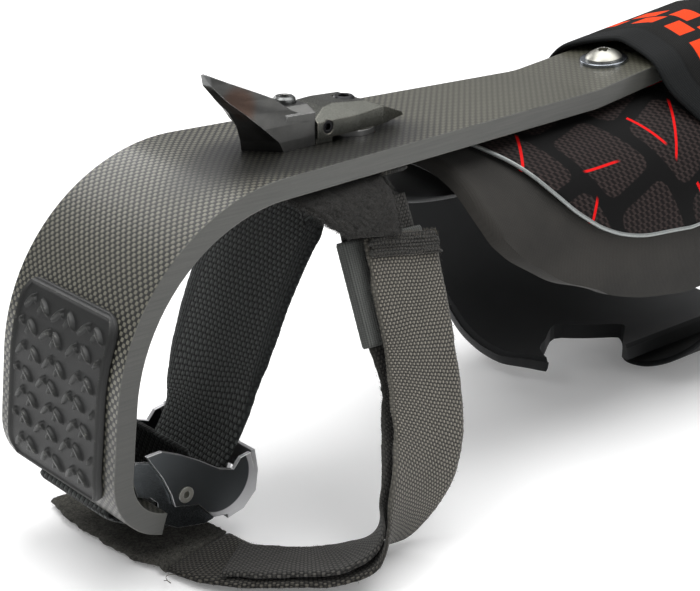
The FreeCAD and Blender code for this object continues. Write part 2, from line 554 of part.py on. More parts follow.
LINER_F = [(-100, 208), (-94.6, 172), (-90, 147), (-84, 122), (-71.5, 101), (-62, 92.7), (-47, 88.3), (-23, 87.5),
           (0, 87), (20, 90), (45, 100), (68, 117), (85, 134), (101, 148), (116, 156), (132, 160), (145, 160.5), (159, 162), (170, 164), (177, 170),
           (184, 176), (190, 184), (195, 192), (199, 200)]
LINER_R = [(-100, 222), (-94.6, 246), (-90, 262), (-84, 278), (-71.5, 291), (-62, 297), (-47, 300), (-23, 301),
           (0, 301), (20, 301), (45, 300), (68, 299), (85, 297), (101, 298), (116, 299), (132, 300), (145, 300), (159, 300), (170, 300), (177, 300),
           (184, 299), (190, 298), (195, 297), (199, 295)]
SHELL_F = [(-79.5, 200), (-77.4, 184), (-75.6, 167.5), (-72.7, 155.7), (-68, 144.7), (-59, 133), (-47.5, 124.5), (-33, 117),
           (-19, 109.5), (0, 104), (25, 108), (45, 116), (68, 131), (85, 147), (101, 160), (116, 169), (130, 176)]
SHELL_R = [(-79.5, 226), (-77.4, 240), (-75.6, 252), (-72.7, 263), (-68, 272), (-59, 281), (-47.5, 287), (-33, 291),
           (-19, 293), (0, 294), (25, 293), (45, 292), (68, 289), (85, 286), (101, 281), (116, 275), (130, 268)]
shell = flap(SHELL_F, SHELL_R, 0.0, SHELL_T, 50, 25)
liner = flap(LINER_F, LINER_R, SHELL_T + 0.5, SHELL_T + 0.5 + LINER_T, 60, 25)
print("flaps", shell.isValid(), round(shell.Volume), liner.isValid(), round(liner.Volume))


def at_bolt(shape, x):
    s = shape.copy()
    s.rotate(V(0, 0, 0), V(0, 1, 0), -KINK)
    s.translate(on_top(x))
    return s


for x in BOLT_X:
    shell = shell.cut(at_bolt(Part.makeCylinder(4.3, 30, V(0, 0, -25)), x))
    liner = liner.cut(at_bolt(Part.makeCylinder(11.2, 14.4, V(0, 0, -18.0)), x))
cut_at = [(160, -60), (176, -3), (181, 5), (190, 10), (197, 14.5), (205, 17.8), (213, 14), (224, 7), (233, 0.5), (231, -4), (222, -10), (213, -17), (209, -24),
          (207, -60)]
notch = Part.Face(Part.makePolygon([V(x, y, -150) for x, y in cut_at + cut_at[:1]])).extrude(V(0, 0, 28))
liner = liner.cut(notch)
if liner.ShapeType == "Compound":
    liner = sorted(liner.Solids, key=lambda q: -q.Volume)[0]
put("cuff_shell", shell)
put("cuff_liner", liner)
sad = Part.makeBox(66, 30, 1.85, V(-33, -15, -BAND_T - 1.9))
sad = sad.makeFillet(5, [e for e in sad.Edges if abs(e.tangentAt(0).z) > 0.9])
sad = at_bolt(sad, 227.0)
for x in BOLT_X:
    sad = sad.cut(at_bolt(Part.makeCylinder(4.3, 30, V(0, 0, -25)), x))
put("cuff_saddle", sad)
screws, washers, tees = [], [], []
for x in BOLT_X:
    ws = Part.makeCylinder(10.5, 1.5, V(0, 0, 0.02)).cut(Part.makeCylinder(4.2, 5, V(0, 0, -1)))
    ws = ws.makeFillet(0.4, [e for e in ws.Edges if e.CenterOfMass.z > 1.4 and e.Length > 50])
    washers.append(at_bolt(ws, x))
    hd = Part.makeSphere(11.0, V(0, 0, 1.56 + 4.2 - 11.0)).common(Part.makeCylinder(8.0, 4.2, V(0, 0, 1.56)))
    hd = hd.fuse(Part.makeCylinder(4.0, 19.4, V(0, 0, 1.6 - 18.9)))
    hd = hd.cut(Part.makeCylinder(2.3, 6, V(0, 0, 1.56 + 1.7)))
    for i in range(6):
        a = rad(60 * i)
        hd = hd.cut(Part.makeCylinder(0.8, 6, V(2.2 * math.cos(a), 2.2 * math.sin(a), 1.56 + 1.7)))
    screws.append(at_bolt(hd.removeSplitter(), x))
    te = Part.makeCylinder(9.5, 1.4, V(0, 0, -14.3)).fuse(Part.makeCylinder(5.6, 1.6, V(0, 0, -15.2)))
    te = te.cut(Part.makeCylinder(4.02, 20, V(0, 0, -30)))
    tees.append(at_bolt(te.removeSplitter(), x))
put("cuff_screws", Part.makeCompound(screws))
put("cuff_washers", Part.makeCompound(washers))
put("cuff_tee_nuts", Part.makeCompound(tees))

# pad that keeps the shank's end off the shin
sec = [(-26, -25.8), (-14, -21.4), (14, -21.4), (26, -25.8), (25, -31.0), (14, -34.0), (-14, -34.0), (-25, -31.0)]
w1 = Part.makePolygon([V(69, y * 0.75, -24 + (z + 24) * 0.8) for y, z in sec + sec[:1]])
w2 = Part.makePolygon([V(79, y, z) for y, z in sec + sec[:1]])
w3 = Part.makePolygon([V(160, y, z) for y, z in sec + sec[:1]])
w4 = Part.makePolygon([V(172, y * 0.75, -24 + (z + 24) * 0.8) for y, z in sec + sec[:1]])
shin = Part.makeLoft([w1, w2, w3, w4], True, True)
shin.translate(V(0, 0, -1.4))
put("shin_pad", shin)

# calf strap: closed ring over the shank and the shell
def ring_wire(x, off):
    pts = []
    n = 40
    for i in range(n + 1):
        th = 40 + (320 - 40) * i / n
        pts.append(cuff_pt(th if th <= 180 else th - 360, x, -off))
    sz = shank_z(x)
    r = off
    top = [(-27.0 - r * .8, sz - 1.5 + r * .55), (-22.5 - r * .45, sz + 1.5 + r * .9), (-11.0 - r * .2, sz + 4.0 + r), (0.0, sz + 6.3 + r), (11.0 + r * .2, sz + 4.0 + r),
           (22.5 + r * .45, sz + 1.5 + r * .9), (27.0 + r * .8, sz - 1.5 + r * .55)]
    pts += [V(x, y, z) for y, z in top]
    return Part.makePolygon(pts + [pts[0]])


xs = [CALF_STRAP_X[0] + (CALF_STRAP_X[1] - CALF_STRAP_X[0]) * i / 4 for i in range(5)]
ring = Part.makeLoft([ring_wire(x, 0.3 + CALF_STRAP_T) for x in xs], True, True).cut(
    Part.makeLoft([ring_wire(x, 0.3) for x in [xs[0] - 1] + xs[1:-1] + [xs[-1] + 1]], True, True))
# its front edge runs slantwise over the shank, behind the front cuff bolt
over = [(150, 90), (206, 90), (206, 24), (212.5, 14), (215.5, -2), (213, -18), (210, -29), (150, -29)]
ring = ring.cut(Part.Face(Part.makePolygon([V(x, y, -14) for x, y in over + over[:1]])).extrude(V(0, 0, 120)))
side = [(150, 80), (210, 80), (210, 0), (223, -17), (236, -45), (240, -75), (228, -110), (214, -150), (150, -150)]
ring = ring.cut(Part.Face(Part.makePolygon([V(x, -95, z) for x, z in side + side[:1]])).extrude(V(0, 66, 0)))
far = [(150, 80), (206, 80), (206, 0), (222, -40), (236, -80), (243, -120), (246, -150), (150, -150)]
ring = ring.cut(Part.Face(Part.makePolygon([V(x, 26, z) for x, z in far + far[:1]])).extrude(V(0, 70, 0)))
under = [(150, -30.5), (215, -30.5), (220, -10), (240, 4), (246, 30), (150, 30)]
ring = ring.cut(Part.Face(Part.makePolygon([V(x, y, -160) for x, y in under + under[:1]])).extrude(V(0, 0, 60)))
if ring.ShapeType == "Compound":
    print("ring solids", [round(q.Volume) for q in ring.Solids])
    ring = sorted(ring.Solids, key=lambda q: -q.Volume)[0]
put("calf_strap", ring)
TAB_TH = (58.0, 112.0)
rows = []
for x in (247.0, 284.0):
    o = [cuff_pt(TAB_TH[0] + (TAB_TH[1] - TAB_TH[0]) * i / 10, x, -(0.3 + CALF_STRAP_T + 0.25 + 2.3)) for i in range(11)]
    q = [cuff_pt(TAB_TH[0] + (TAB_TH[1] - TAB_TH[0]) * i / 10, x, -(0.3 + CALF_STRAP_T + 0.25)) for i in range(11)]
    rows.append(Part.makePolygon(o + q[::-1] + [o[0]]))
put("calf_strap_tab", Part.makeLoft(rows, True, True))

# ---------------------------------------------------------------- write
lo, hi = [1e9] * 3, [-1e9] * 3
for n, s in shapes.items():
    for v in s.tessellate(0.05)[0]:
        for k, c in enumerate((v.x, v.y, v.z)):
            lo[k] = min(lo[k], c)
            hi[k] = max(hi[k], c)
shift = V(-(lo[0] + hi[0]) / 2, -(lo[1] + hi[1]) / 2, -lo[2])
print("box", [round(v, 2) for v in lo + hi], "shift", [shift.x, shift.y, shift.z])
for n, s in shapes.items():
    t = s.copy()
    t.translate(shift)
    print("%-22s valid=%s solids=%d vol=%.0f" % (n, t.isValid(), len(t.Solids), t.Volume))
    t.exportStep("parts/%s.step" % n)
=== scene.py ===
import bpy
import bmesh
import math
import random
import numpy as np
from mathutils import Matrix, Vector


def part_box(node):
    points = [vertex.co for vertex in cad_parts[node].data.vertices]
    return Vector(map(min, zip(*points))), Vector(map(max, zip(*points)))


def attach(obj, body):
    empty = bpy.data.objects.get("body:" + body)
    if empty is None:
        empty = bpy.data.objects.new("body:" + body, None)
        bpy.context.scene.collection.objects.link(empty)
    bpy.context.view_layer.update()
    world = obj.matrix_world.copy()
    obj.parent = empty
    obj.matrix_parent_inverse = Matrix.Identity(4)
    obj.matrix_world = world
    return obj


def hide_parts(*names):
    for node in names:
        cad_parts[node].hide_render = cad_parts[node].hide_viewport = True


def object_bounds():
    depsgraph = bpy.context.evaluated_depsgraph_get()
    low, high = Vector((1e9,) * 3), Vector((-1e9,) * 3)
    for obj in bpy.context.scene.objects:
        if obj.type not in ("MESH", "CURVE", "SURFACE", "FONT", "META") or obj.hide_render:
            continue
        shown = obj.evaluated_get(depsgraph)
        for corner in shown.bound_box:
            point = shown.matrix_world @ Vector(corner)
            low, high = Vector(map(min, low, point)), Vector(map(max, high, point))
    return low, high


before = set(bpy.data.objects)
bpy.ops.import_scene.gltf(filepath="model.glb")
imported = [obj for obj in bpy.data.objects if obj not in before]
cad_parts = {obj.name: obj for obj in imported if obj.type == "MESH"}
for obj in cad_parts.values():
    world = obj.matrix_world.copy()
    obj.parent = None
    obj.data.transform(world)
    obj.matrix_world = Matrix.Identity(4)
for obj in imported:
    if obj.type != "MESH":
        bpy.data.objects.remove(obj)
cad_lo, cad_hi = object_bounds()
ROOT = "spur"
random.seed(7)
RNG = np.random.default_rng(11)

# ------------------------------------------------------------ frame of work
# Pieces are laid out in millimetres with X along the straight shank, Z = 0 on
# the shank's outer face and Y along the foot; W() takes them to the row frame.
_lo, _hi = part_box("roller_pin")
SX = (_lo[0] + _hi[0]) / 2 + .0305
SY = (_lo[1] + _hi[1]) / 2
SZ = (_lo[2] + _hi[2]) / 2 + .1242


def W(v):
    v = np.asarray(v, float) / 1000.0
    return v + np.array([SX, SY, SZ])


def rad(a):
    return math.radians(a)


KINK, R_KINK, SHANK_FLAT = 7.0, 60.0, 172.0
STRAP_T = 2.2
R_ARCH, A_ARCH, FOOT_FLAT, R_LIP, A_LIP = 76.0, 84.0, 26.0, 24.0, 77.0


def shank_z(x):
    if x <= SHANK_FLAT:
        return 0.0
    k = rad(KINK)
    xe = SHANK_FLAT + R_KINK * math.sin(k)
    if x < xe:
        return R_KINK - math.sqrt(R_KINK ** 2 - (x - SHANK_FLAT) ** 2)
    return R_KINK * (1 - math.cos(k)) + (x - xe) * math.tan(k)


# ------------------------------------------------------------ colour
def lin(r, g, b, a=1.0):
    def f(c):
        c /= 255.0
        return c / 12.92 if c <= 0.04045 else ((c + 0.055) / 1.055) ** 2.4
    return (f(r), f(g), f(b), a)


# ------------------------------------------------------------ node graphs
class E:
    """A value in a node graph, so that formulas can be written plainly."""

    def __init__(self, g, s):
        self.g, self.s = g, s

    def __add__(self, o): return self.g.m("ADD", self, o)
    def __radd__(self, o): return self.g.m("ADD", o, self)
    def __sub__(self, o): return self.g.m("SUBTRACT", self, o)
    def __rsub__(self, o): return self.g.m("SUBTRACT", o, self)
    def __mul__(self, o): return self.g.m("MULTIPLY", self, o)
    def __rmul__(self, o): return self.g.m("MULTIPLY", o, self)
    def __truediv__(self, o): return self.g.m("DIVIDE", self, o)
    def __neg__(self): return self.g.m("MULTIPLY", self, -1.0)


class G:
    def __init__(self, name):
        self.mat = bpy.data.materials.new(name)
        self.mat.use_nodes = True
        self.nt = self.mat.node_tree
        self.nt.nodes.clear()
        self.out = self.nt.nodes.new("ShaderNodeOutputMaterial")
        self.b = self.nt.nodes.new("ShaderNodeBsdfPrincipled")
        self.nt.links.new(self.b.outputs[0], self.out.inputs[0])
        self._obj = None
        self._uv = None

    def put(self, sock, v):
        if isinstance(v, E):
            self.nt.links.new(v.s, sock)
        elif isinstance(v, (tuple, list)) and sock.type == "VECTOR":
            sock.default_value = v[:3]
        else:
            sock.default_value = v

    def m(self, op, a, b=None, c=None, clamp=False):
        n = self.nt.nodes.new("ShaderNodeMath")
        n.operation = op
        n.use_clamp = clamp
        for i, v in enumerate((a, b, c)):
            if v is not None:
                self.put(n.inputs[i], v)
        return E(self, n.outputs[0])

    def abs(self, a): return self.m("ABSOLUTE", a)
    def sin(self, a): return self.m("SINE", a)
    def cos(self, a): return self.m("COSINE", a)
    def frac(self, a): return self.m("FRACT", a)
    def floor(self, a): return self.m("FLOOR", a)
    def sqrt(self, a): return self.m("SQRT", a)
    def pow(self, a, b): return self.m("POWER", a, b)
    def atan2(self, a, b): return self.m("ARCTAN2", a, b)
    def min(self, a, b): return self.m("MINIMUM", a, b)
    def max(self, a, b): return self.m("MAXIMUM", a, b)
    def gt(self, a, b): return self.m("GREATER_THAN", a, b)
    def clamp(self, a): return self.m("ADD", a, 0.0, clamp=True)

    def step(self, a, lo, hi, t0=0.0, t1=1.0):
        n = self.nt.nodes.new("ShaderNodeMapRange")
        n.interpolation_type = "SMOOTHSTEP"
        self.put(n.inputs[0], a)
        for i, v in zip((1, 2, 3, 4), (lo, hi, t0, t1)):
            self.put(n.inputs[i], v)
        return E(self, n.outputs[0])

    def mix(self, f, a, b):
        """Numbers: a where f is 0, b where it is 1."""
        return a + (b - a) * f if isinstance(b, E) or isinstance(a, E) else a + f * (b - a)

    def col(self, f, a, b):
        n = self.nt.nodes.new("ShaderNodeMix")
        n.data_type = "RGBA"
        self.put(n.inputs[0], f)
        self.put(n.inputs[6], a)
        self.put(n.inputs[7], b)
        return E(self, n.outputs[2])

    def scale(self, c, f):
        n = self.nt.nodes.new("ShaderNodeMix")
        n.data_type = "RGBA"
        n.blend_type = "MULTIPLY"
        n.inputs[0].default_value = 1.0
        self.put(n.inputs[6], c)
        v = self.nt.nodes.new("ShaderNodeCombineColor")
        for i in range(3):
            self.put(v.inputs[i], f)
        self.nt.links.new(v.outputs[0], n.inputs[7])
        return E(self, n.outputs[2])

    def xyz(self, s):
        n = self.nt.nodes.new("ShaderNodeSeparateXYZ")
        self.nt.links.new(s, n.inputs[0])
        return [E(self, o) for o in n.outputs]

    def vec(self, x, y, z):
        n = self.nt.nodes.new("ShaderNodeCombineXYZ")
        for i, v in enumerate((x, y, z)):
            self.put(n.inputs[i], v)
        return E(self, n.outputs[0])

    def pos(self):
        """Profile coordinates in millimetres, from the vertex places."""
        if self._obj is None:
            n = self.nt.nodes.new("ShaderNodeTexCoord")
            self._tc = n
            x, y, z = self.xyz(n.outputs["Object"])
            self._obj = ((x - SX) * 1000.0, (y - SY) * 1000.0, (z - SZ) * 1000.0)
        return self._obj

    def uv(self, name="UVMap"):
        if self._uv is None:
            n = self.nt.nodes.new("ShaderNodeUVMap")
            n.uv_map = name
            u, v, _ = self.xyz(n.outputs[0])
            self._uv = (u * 100.0, v * 100.0)
        return self._uv

    def noise(self, vec, scale=1.0, detail=3.0, rough=0.55):
        n = self.nt.nodes.new("ShaderNodeTexNoise")
        self.put(n.inputs["Vector"], vec)
        n.inputs["Scale"].default_value = scale
        n.inputs["Detail"].default_value = detail
        n.inputs["Roughness"].default_value = rough
        return E(self, n.outputs[0])

    def voronoi(self, vec, scale=1.0, feature="F1", rand=1.0):
        n = self.nt.nodes.new("ShaderNodeTexVoronoi")
        n.feature = feature
        self.put(n.inputs["Vector"], vec)
        n.inputs["Scale"].default_value = scale
        n.inputs["Randomness"].default_value = rand
        return E(self, n.outputs["Distance"])

    def normal(self):
        n = self.nt.nodes.new("ShaderNodeNewGeometry")
        return self.xyz(n.outputs["Normal"])

    def edge(self, radius_mm, lo=0.002, hi=0.05):
        """1 on sharp edges, from the difference of rounded and true normal."""
        geo = self.nt.nodes.new("ShaderNodeNewGeometry")
        bev = self.nt.nodes.new("ShaderNodeBevel")
        bev.samples = 6
        bev.inputs[0].default_value = radius_mm / 1000.0
        d = self.nt.nodes.new("ShaderNodeVectorMath")
        d.operation = "DOT_PRODUCT"
        self.nt.links.new(geo.outputs["Normal"], d.inputs[0])
        self.nt.links.new(bev.outputs[0], d.inputs[1])
        self._bev = bev
        return self.step(1.0 - E(self, d.outputs["Value"]), lo, hi)

    def bevel(self, radius_mm):
        bev = self.nt.nodes.new("ShaderNodeBevel")
        bev.samples = 6
        bev.inputs[0].default_value = radius_mm / 1000.0
        return bev

    def bump(self, height, dist_mm, strength=1.0, base=None):
        n = self.nt.nodes.new("ShaderNodeBump")
        n.inputs["Strength"].default_value = strength
        n.inputs["Distance"].default_value = dist_mm / 1000.0
        self.put(n.inputs["Height"], height)
        if base is not None:
            self.nt.links.new(base.outputs[0], n.inputs["Normal"])
        self.nt.links.new(n.outputs[0], self.b.inputs["Normal"])
        return n

    def set(self, **kw):
        names = dict(color="Base Color", rough="Roughness", metal="Metallic", spec="Specular IOR Level",
                     coat="Coat Weight", coat_rough="Coat Roughness", sheen="Sheen Weight",
                     sheen_rough="Sheen Roughness", sheen_tint="Sheen Tint", aniso="Anisotropic",
                     emit="Emission Color", emit_s="Emission Strength")
        for k, v in kw.items():
            self.put(self.b.inputs[names[k]], v)
        return self.mat


def plain_weave(g, u, v, pu, pv=None):
    """(height, which thread is on top) of a plain weave with threads pu by pv mm."""
    pv = pv or pu
    su, sv = g.sin(u * (math.pi / pu)), g.sin(v * (math.pi / pv))
    par = g.step(su * sv, -0.06, 0.06)
    hw = g.sqrt(g.abs(sv)) * (0.55 + 0.45 * g.abs(su))
    hf = g.sqrt(g.abs(su)) * (0.55 + 0.45 * g.abs(sv))
    return g.mix(par, hw, hf), par


# ------------------------------------------------------------ meshes
def make(name, verts, faces, mats, slot_name=None, replaces=(), uv=None, matidx=None, smooth=True, body=ROOT, profile=True):
    me = bpy.data.meshes.new(name)
    vs = W(verts) if profile else np.asarray(verts, float)
    me.from_pydata([tuple(map(float, v)) for v in vs], [], [tuple(int(i) for i in f) for f in faces])
    me.update()
    bm = bmesh.new()
    bm.from_mesh(me)
    bmesh.ops.recalc_face_normals(bm, faces=bm.faces)
    bm.to_mesh(me)
    bm.free()
    if uv is not None:
        lay = me.uv_layers.new(name="UVMap")
        li = np.zeros(len(me.loops), int)
        me.loops.foreach_get("vertex_index", li)
        lay.data.foreach_set("uv", (np.asarray(uv, float)[li] / 100.0).ravel())
    for m in (mats if isinstance(mats, (list, tuple)) else [mats]):
        me.materials.append(m)
    if matidx is not None:
        me.polygons.foreach_set("material_index", np.asarray(matidx, dtype=np.int32))
    if smooth:
        me.polygons.foreach_set("use_smooth", np.ones(len(me.polygons), dtype=bool))
    ob = bpy.data.objects.new(name, me)
    bpy.context.scene.collection.objects.link(ob)
    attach(ob, body)
    if replaces:
        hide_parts(*replaces)
    return ob


def tube_faces(n_path, n_sec, close_path=False, caps=True):
    f = []
    m = n_path if close_path else n_path - 1
    for i in range(m):
        a, b = i * n_sec, ((i + 1) % n_path) * n_sec
        for j in range(n_sec):
            k = (j + 1) % n_sec
            f.append((a + j, a + k, b + k, b + j))
    if caps and not close_path:
        f.append(tuple(range(n_sec))[::-1])
        f.append(tuple((n_path - 1) * n_sec + j for j in range(n_sec)))
    return f


def catmull(pts, n):
    """n points of a centripetal Catmull-Rom curve through rows of pts."""
    p = np.asarray(pts, float)
    k = min(3, p.shape[1])
    p = np.vstack([2 * p[0] - p[1], p, 2 * p[-1] - p[-2]])
    t = np.zeros(len(p))
    for i in range(1, len(p)):
        t[i] = t[i - 1] + max(np.linalg.norm(p[i, :k] - p[i - 1, :k]), 1e-3) ** 0.5
    # spread by true length
    dense = []
    for i in range(1, len(p) - 2):
        for s in np.linspace(0, 1, 24, endpoint=(i == len(p) - 3)):
            tt = t[i] + (t[i + 1] - t[i]) * s
            a1 = (t[i] - tt) / (t[i] - t[i - 1]) * p[i - 1] + (tt - t[i - 1]) / (t[i] - t[i - 1]) * p[i]
            a2 = (t[i + 1] - tt) / (t[i + 1] - t[i]) * p[i] + (tt - t[i]) / (t[i + 1] - t[i]) * p[i + 1]
            a3 = (t[i + 2] - tt) / (t[i + 2] - t[i + 1]) * p[i + 1] + (tt - t[i + 1]) / (t[i + 2] - t[i + 1]) * p[i + 2]
            b1 = (t[i + 1] - tt) / (t[i + 1] - t[i - 1]) * a1 + (tt - t[i - 1]) / (t[i + 1] - t[i - 1]) * a2
            b2 = (t[i + 2] - tt) / (t[i + 2] - t[i]) * a2 + (tt - t[i]) / (t[i + 2] - t[i]) * a3
            dense.append((t[i + 1] - tt) / (t[i + 1] - t[i]) * b1 + (tt - t[i]) / (t[i + 1] - t[i]) * b2)
    d = np.array(dense)
    s = np.r_[0, np.cumsum(np.linalg.norm(np.diff(d[:, :k], axis=0), axis=1))]
    u = np.linspace(0, s[-1], n)
    return np.column_stack([np.interp(u, s, d[:, c]) for c in range(d.shape[1])]), u


def smooth_noise(n, period, amp, seed):
    r = np.random.default_rng(seed)
    k = max(4, int(n / period) + 3)
    a = r.normal(0, amp, k)
    x = np.linspace(0, k - 1.001, n)
    i = x.astype(int)
    f = x - i
    f = f * f * (3 - 2 * f)
    return a[i] * (1 - f) + a[np.minimum(i + 1, k - 1)] * f


class Strap:
    """A woven strap along stations (centre, width direction, half width)."""

    def __init__(self, stations, thick, step=1.2, across=22, edge_amp=0.15, crown=0.0, seed=1, skew=False, ripple=0.0, fray=0.0):
        rows = [list(s[0]) + list(np.asarray(s[1], float) / np.linalg.norm(s[1])) + [s[2]] for s in stations]
        _, u0 = catmull(rows, 8)
        n = max(8, int(u0[-1] / step))
        r, self.u = catmull(rows, n)
        self.c, w, self.h = r[:, :3], r[:, 3:6], r[:, 6]
        t = np.gradient(self.c, axis=0)
        t /= np.linalg.norm(t, axis=1)[:, None]
        if not skew:
            w = w - t * np.sum(t * w, axis=1)[:, None]
        w /= np.linalg.norm(w, axis=1)[:, None]
        nn = np.cross(t, w)
        nn /= np.linalg.norm(nn, axis=1)[:, None]
        self.t, self.w, self.n, self.thick = t, w, nn, thick
        el = smooth_noise(n, 6, edge_amp, seed) + RNG.normal(0, edge_amp * 0.35, n)
        er = smooth_noise(n, 6, edge_amp, seed + 50) + RNG.normal(0, edge_amp * 0.35, n)
        rip = smooth_noise(n, 10, ripple, seed + 90)
        # section: across on top, rounded end, back below, rounded end
        q = np.linspace(-1, 1, across)
        sec = [(x, 0.5) for x in q] + [(1.0, 0.0, 1)] + [(x, -0.5) for x in q[::-1]] + [(-1.0, 0.0, 1)]
        self.ns = len(sec)
        V, UV = [], []
        for i in range(n):
            for s in sec:
                x, z = s[0], s[1]
                hl = self.h[i] + (el[i] if x < 0 else er[i])
                d = hl - abs(x) * hl
                thin = 1.0 if d > 1.2 else 0.55 + 0.45 * math.sqrt(max(0.0, d / 1.2))
                off = x * (hl - 0.5) if len(s) == 2 else x * hl
                up = z * thick * thin + crown * (1 - x * x) + rip[i] * x * x * (1 if x > 0 else -1)
                V.append(self.c[i] + w[i] * off + nn[i] * up)
                UV.append((self.u[i], off))
        self.V, self.UV, self.n_path = np.array(V), np.array(UV), n
        self.el, self.er = el, er

    def build(self, name, mats, slot_name, replaces, matidx=None, body=ROOT):
        f = tube_faces(self.n_path, self.ns)
        return make(name, self.V, f, mats, slot_name, replaces, uv=self.UV, body=body)

    def at(self, u, x, lift=0.0, side=1):
        """Point and axes at length u, offset x across, on one face."""
        i = int(np.clip(np.searchsorted(self.u, u), 0, self.n_path - 1))
        return (self.c[i] + self.w[i] * x + self.n[i] * side * (self.thick / 2 + lift), self.t[i], self.w[i], self.n[i] * side)


def spikes(items):
    """Closed thin three-sided spikes: items are (root, tip, radius)."""
    V, F = [], []
    for a, b, r in items:
        a, b = np.asarray(a, float), np.asarray(b, float)
        d = b - a
        d /= np.linalg.norm(d) + 1e-9
        x = np.cross(d, (0.3, 0.9, 0.2))
        x /= np.linalg.norm(x)
        y = np.cross(d, x)
        k = len(V)
        for j in range(3):
            g = 2 * math.pi * j / 3
            V.append(a + (x * math.cos(g) + y * math.sin(g)) * r)
        V.append(b)
        F += [(k, k + 2, k + 1), (k, k + 1, k + 3), (k + 1, k + 2, k + 3), (k + 2, k, k + 3)]
    return np.array(V), F


def stitch_mesh(items, r=0.28, seg=6):
    """Short fat threads: items are (point a, point b, normal)."""
    V, F = [], []
    for a, b, n in items:
        a, b, n = (np.asarray(q, float) for q in (a, b, n))
        d = b - a
        L = np.linalg.norm(d)
        d /= L
        n = n - d * n.dot(d)
        n /= np.linalg.norm(n)
        s = np.cross(n, d)
        k0 = len(V)
        rows = [(0.0, -0.35, .55), (0.15, 0.35, .85), (0.5, 0.6, 1.0), (0.85, 0.35, .85), (1.0, -0.35, .55)]
        for f, up, rr in rows:
            c = a + d * (f * L) + n * (up * r)
            for j in range(seg):
                g = 2 * math.pi * j / seg
                V.append(c + (s * math.cos(g) + n * math.sin(g)) * r * rr)
        for i in range(len(rows) - 1):
            for j in range(seg):
                p, q = k0 + i * seg + j, k0 + i * seg + (j + 1) % seg
                F.append((p, q, q + seg, p + seg))
        F.append(tuple(k0 + j for j in range(seg))[::-1])
        F.append(tuple(k0 + (len(rows) - 1) * seg + j for j in range(seg)))
    return np.array(V), F


def pipe(path, r, seg=8, closed=False, flat=1.0, normals=None):
    """Round piping along a path of points."""
    p = np.asarray(path, float)
    n = len(p)
    t = np.roll(p, -1, 0) - np.roll(p, 1, 0) if closed else np.gradient(p, axis=0)
    t /= np.linalg.norm(t, axis=1)[:, None] + 1e-12
    x = np.zeros_like(p)
    ref = np.array([0.2, 0.5, 0.8]) if normals is None else normals[0]
    prev = np.cross(t[0], ref)
    prev /= np.linalg.norm(prev)
    for i in range(n):
        v = (prev - t[i] * prev.dot(t[i])) if normals is None else np.cross(t[i], normals[i])
        v /= np.linalg.norm(v) + 1e-12
        x[i] = v
        prev = v
    y = np.cross(t, x)
    V = []
    for i in range(n):
        for j in range(seg):
            g = 2 * math.pi * j / seg
            V.append(p[i] + x[i] * math.cos(g) * r + y[i] * math.sin(g) * r * flat)
    return np.array(V), tube_faces(n, seg, close_path=closed)


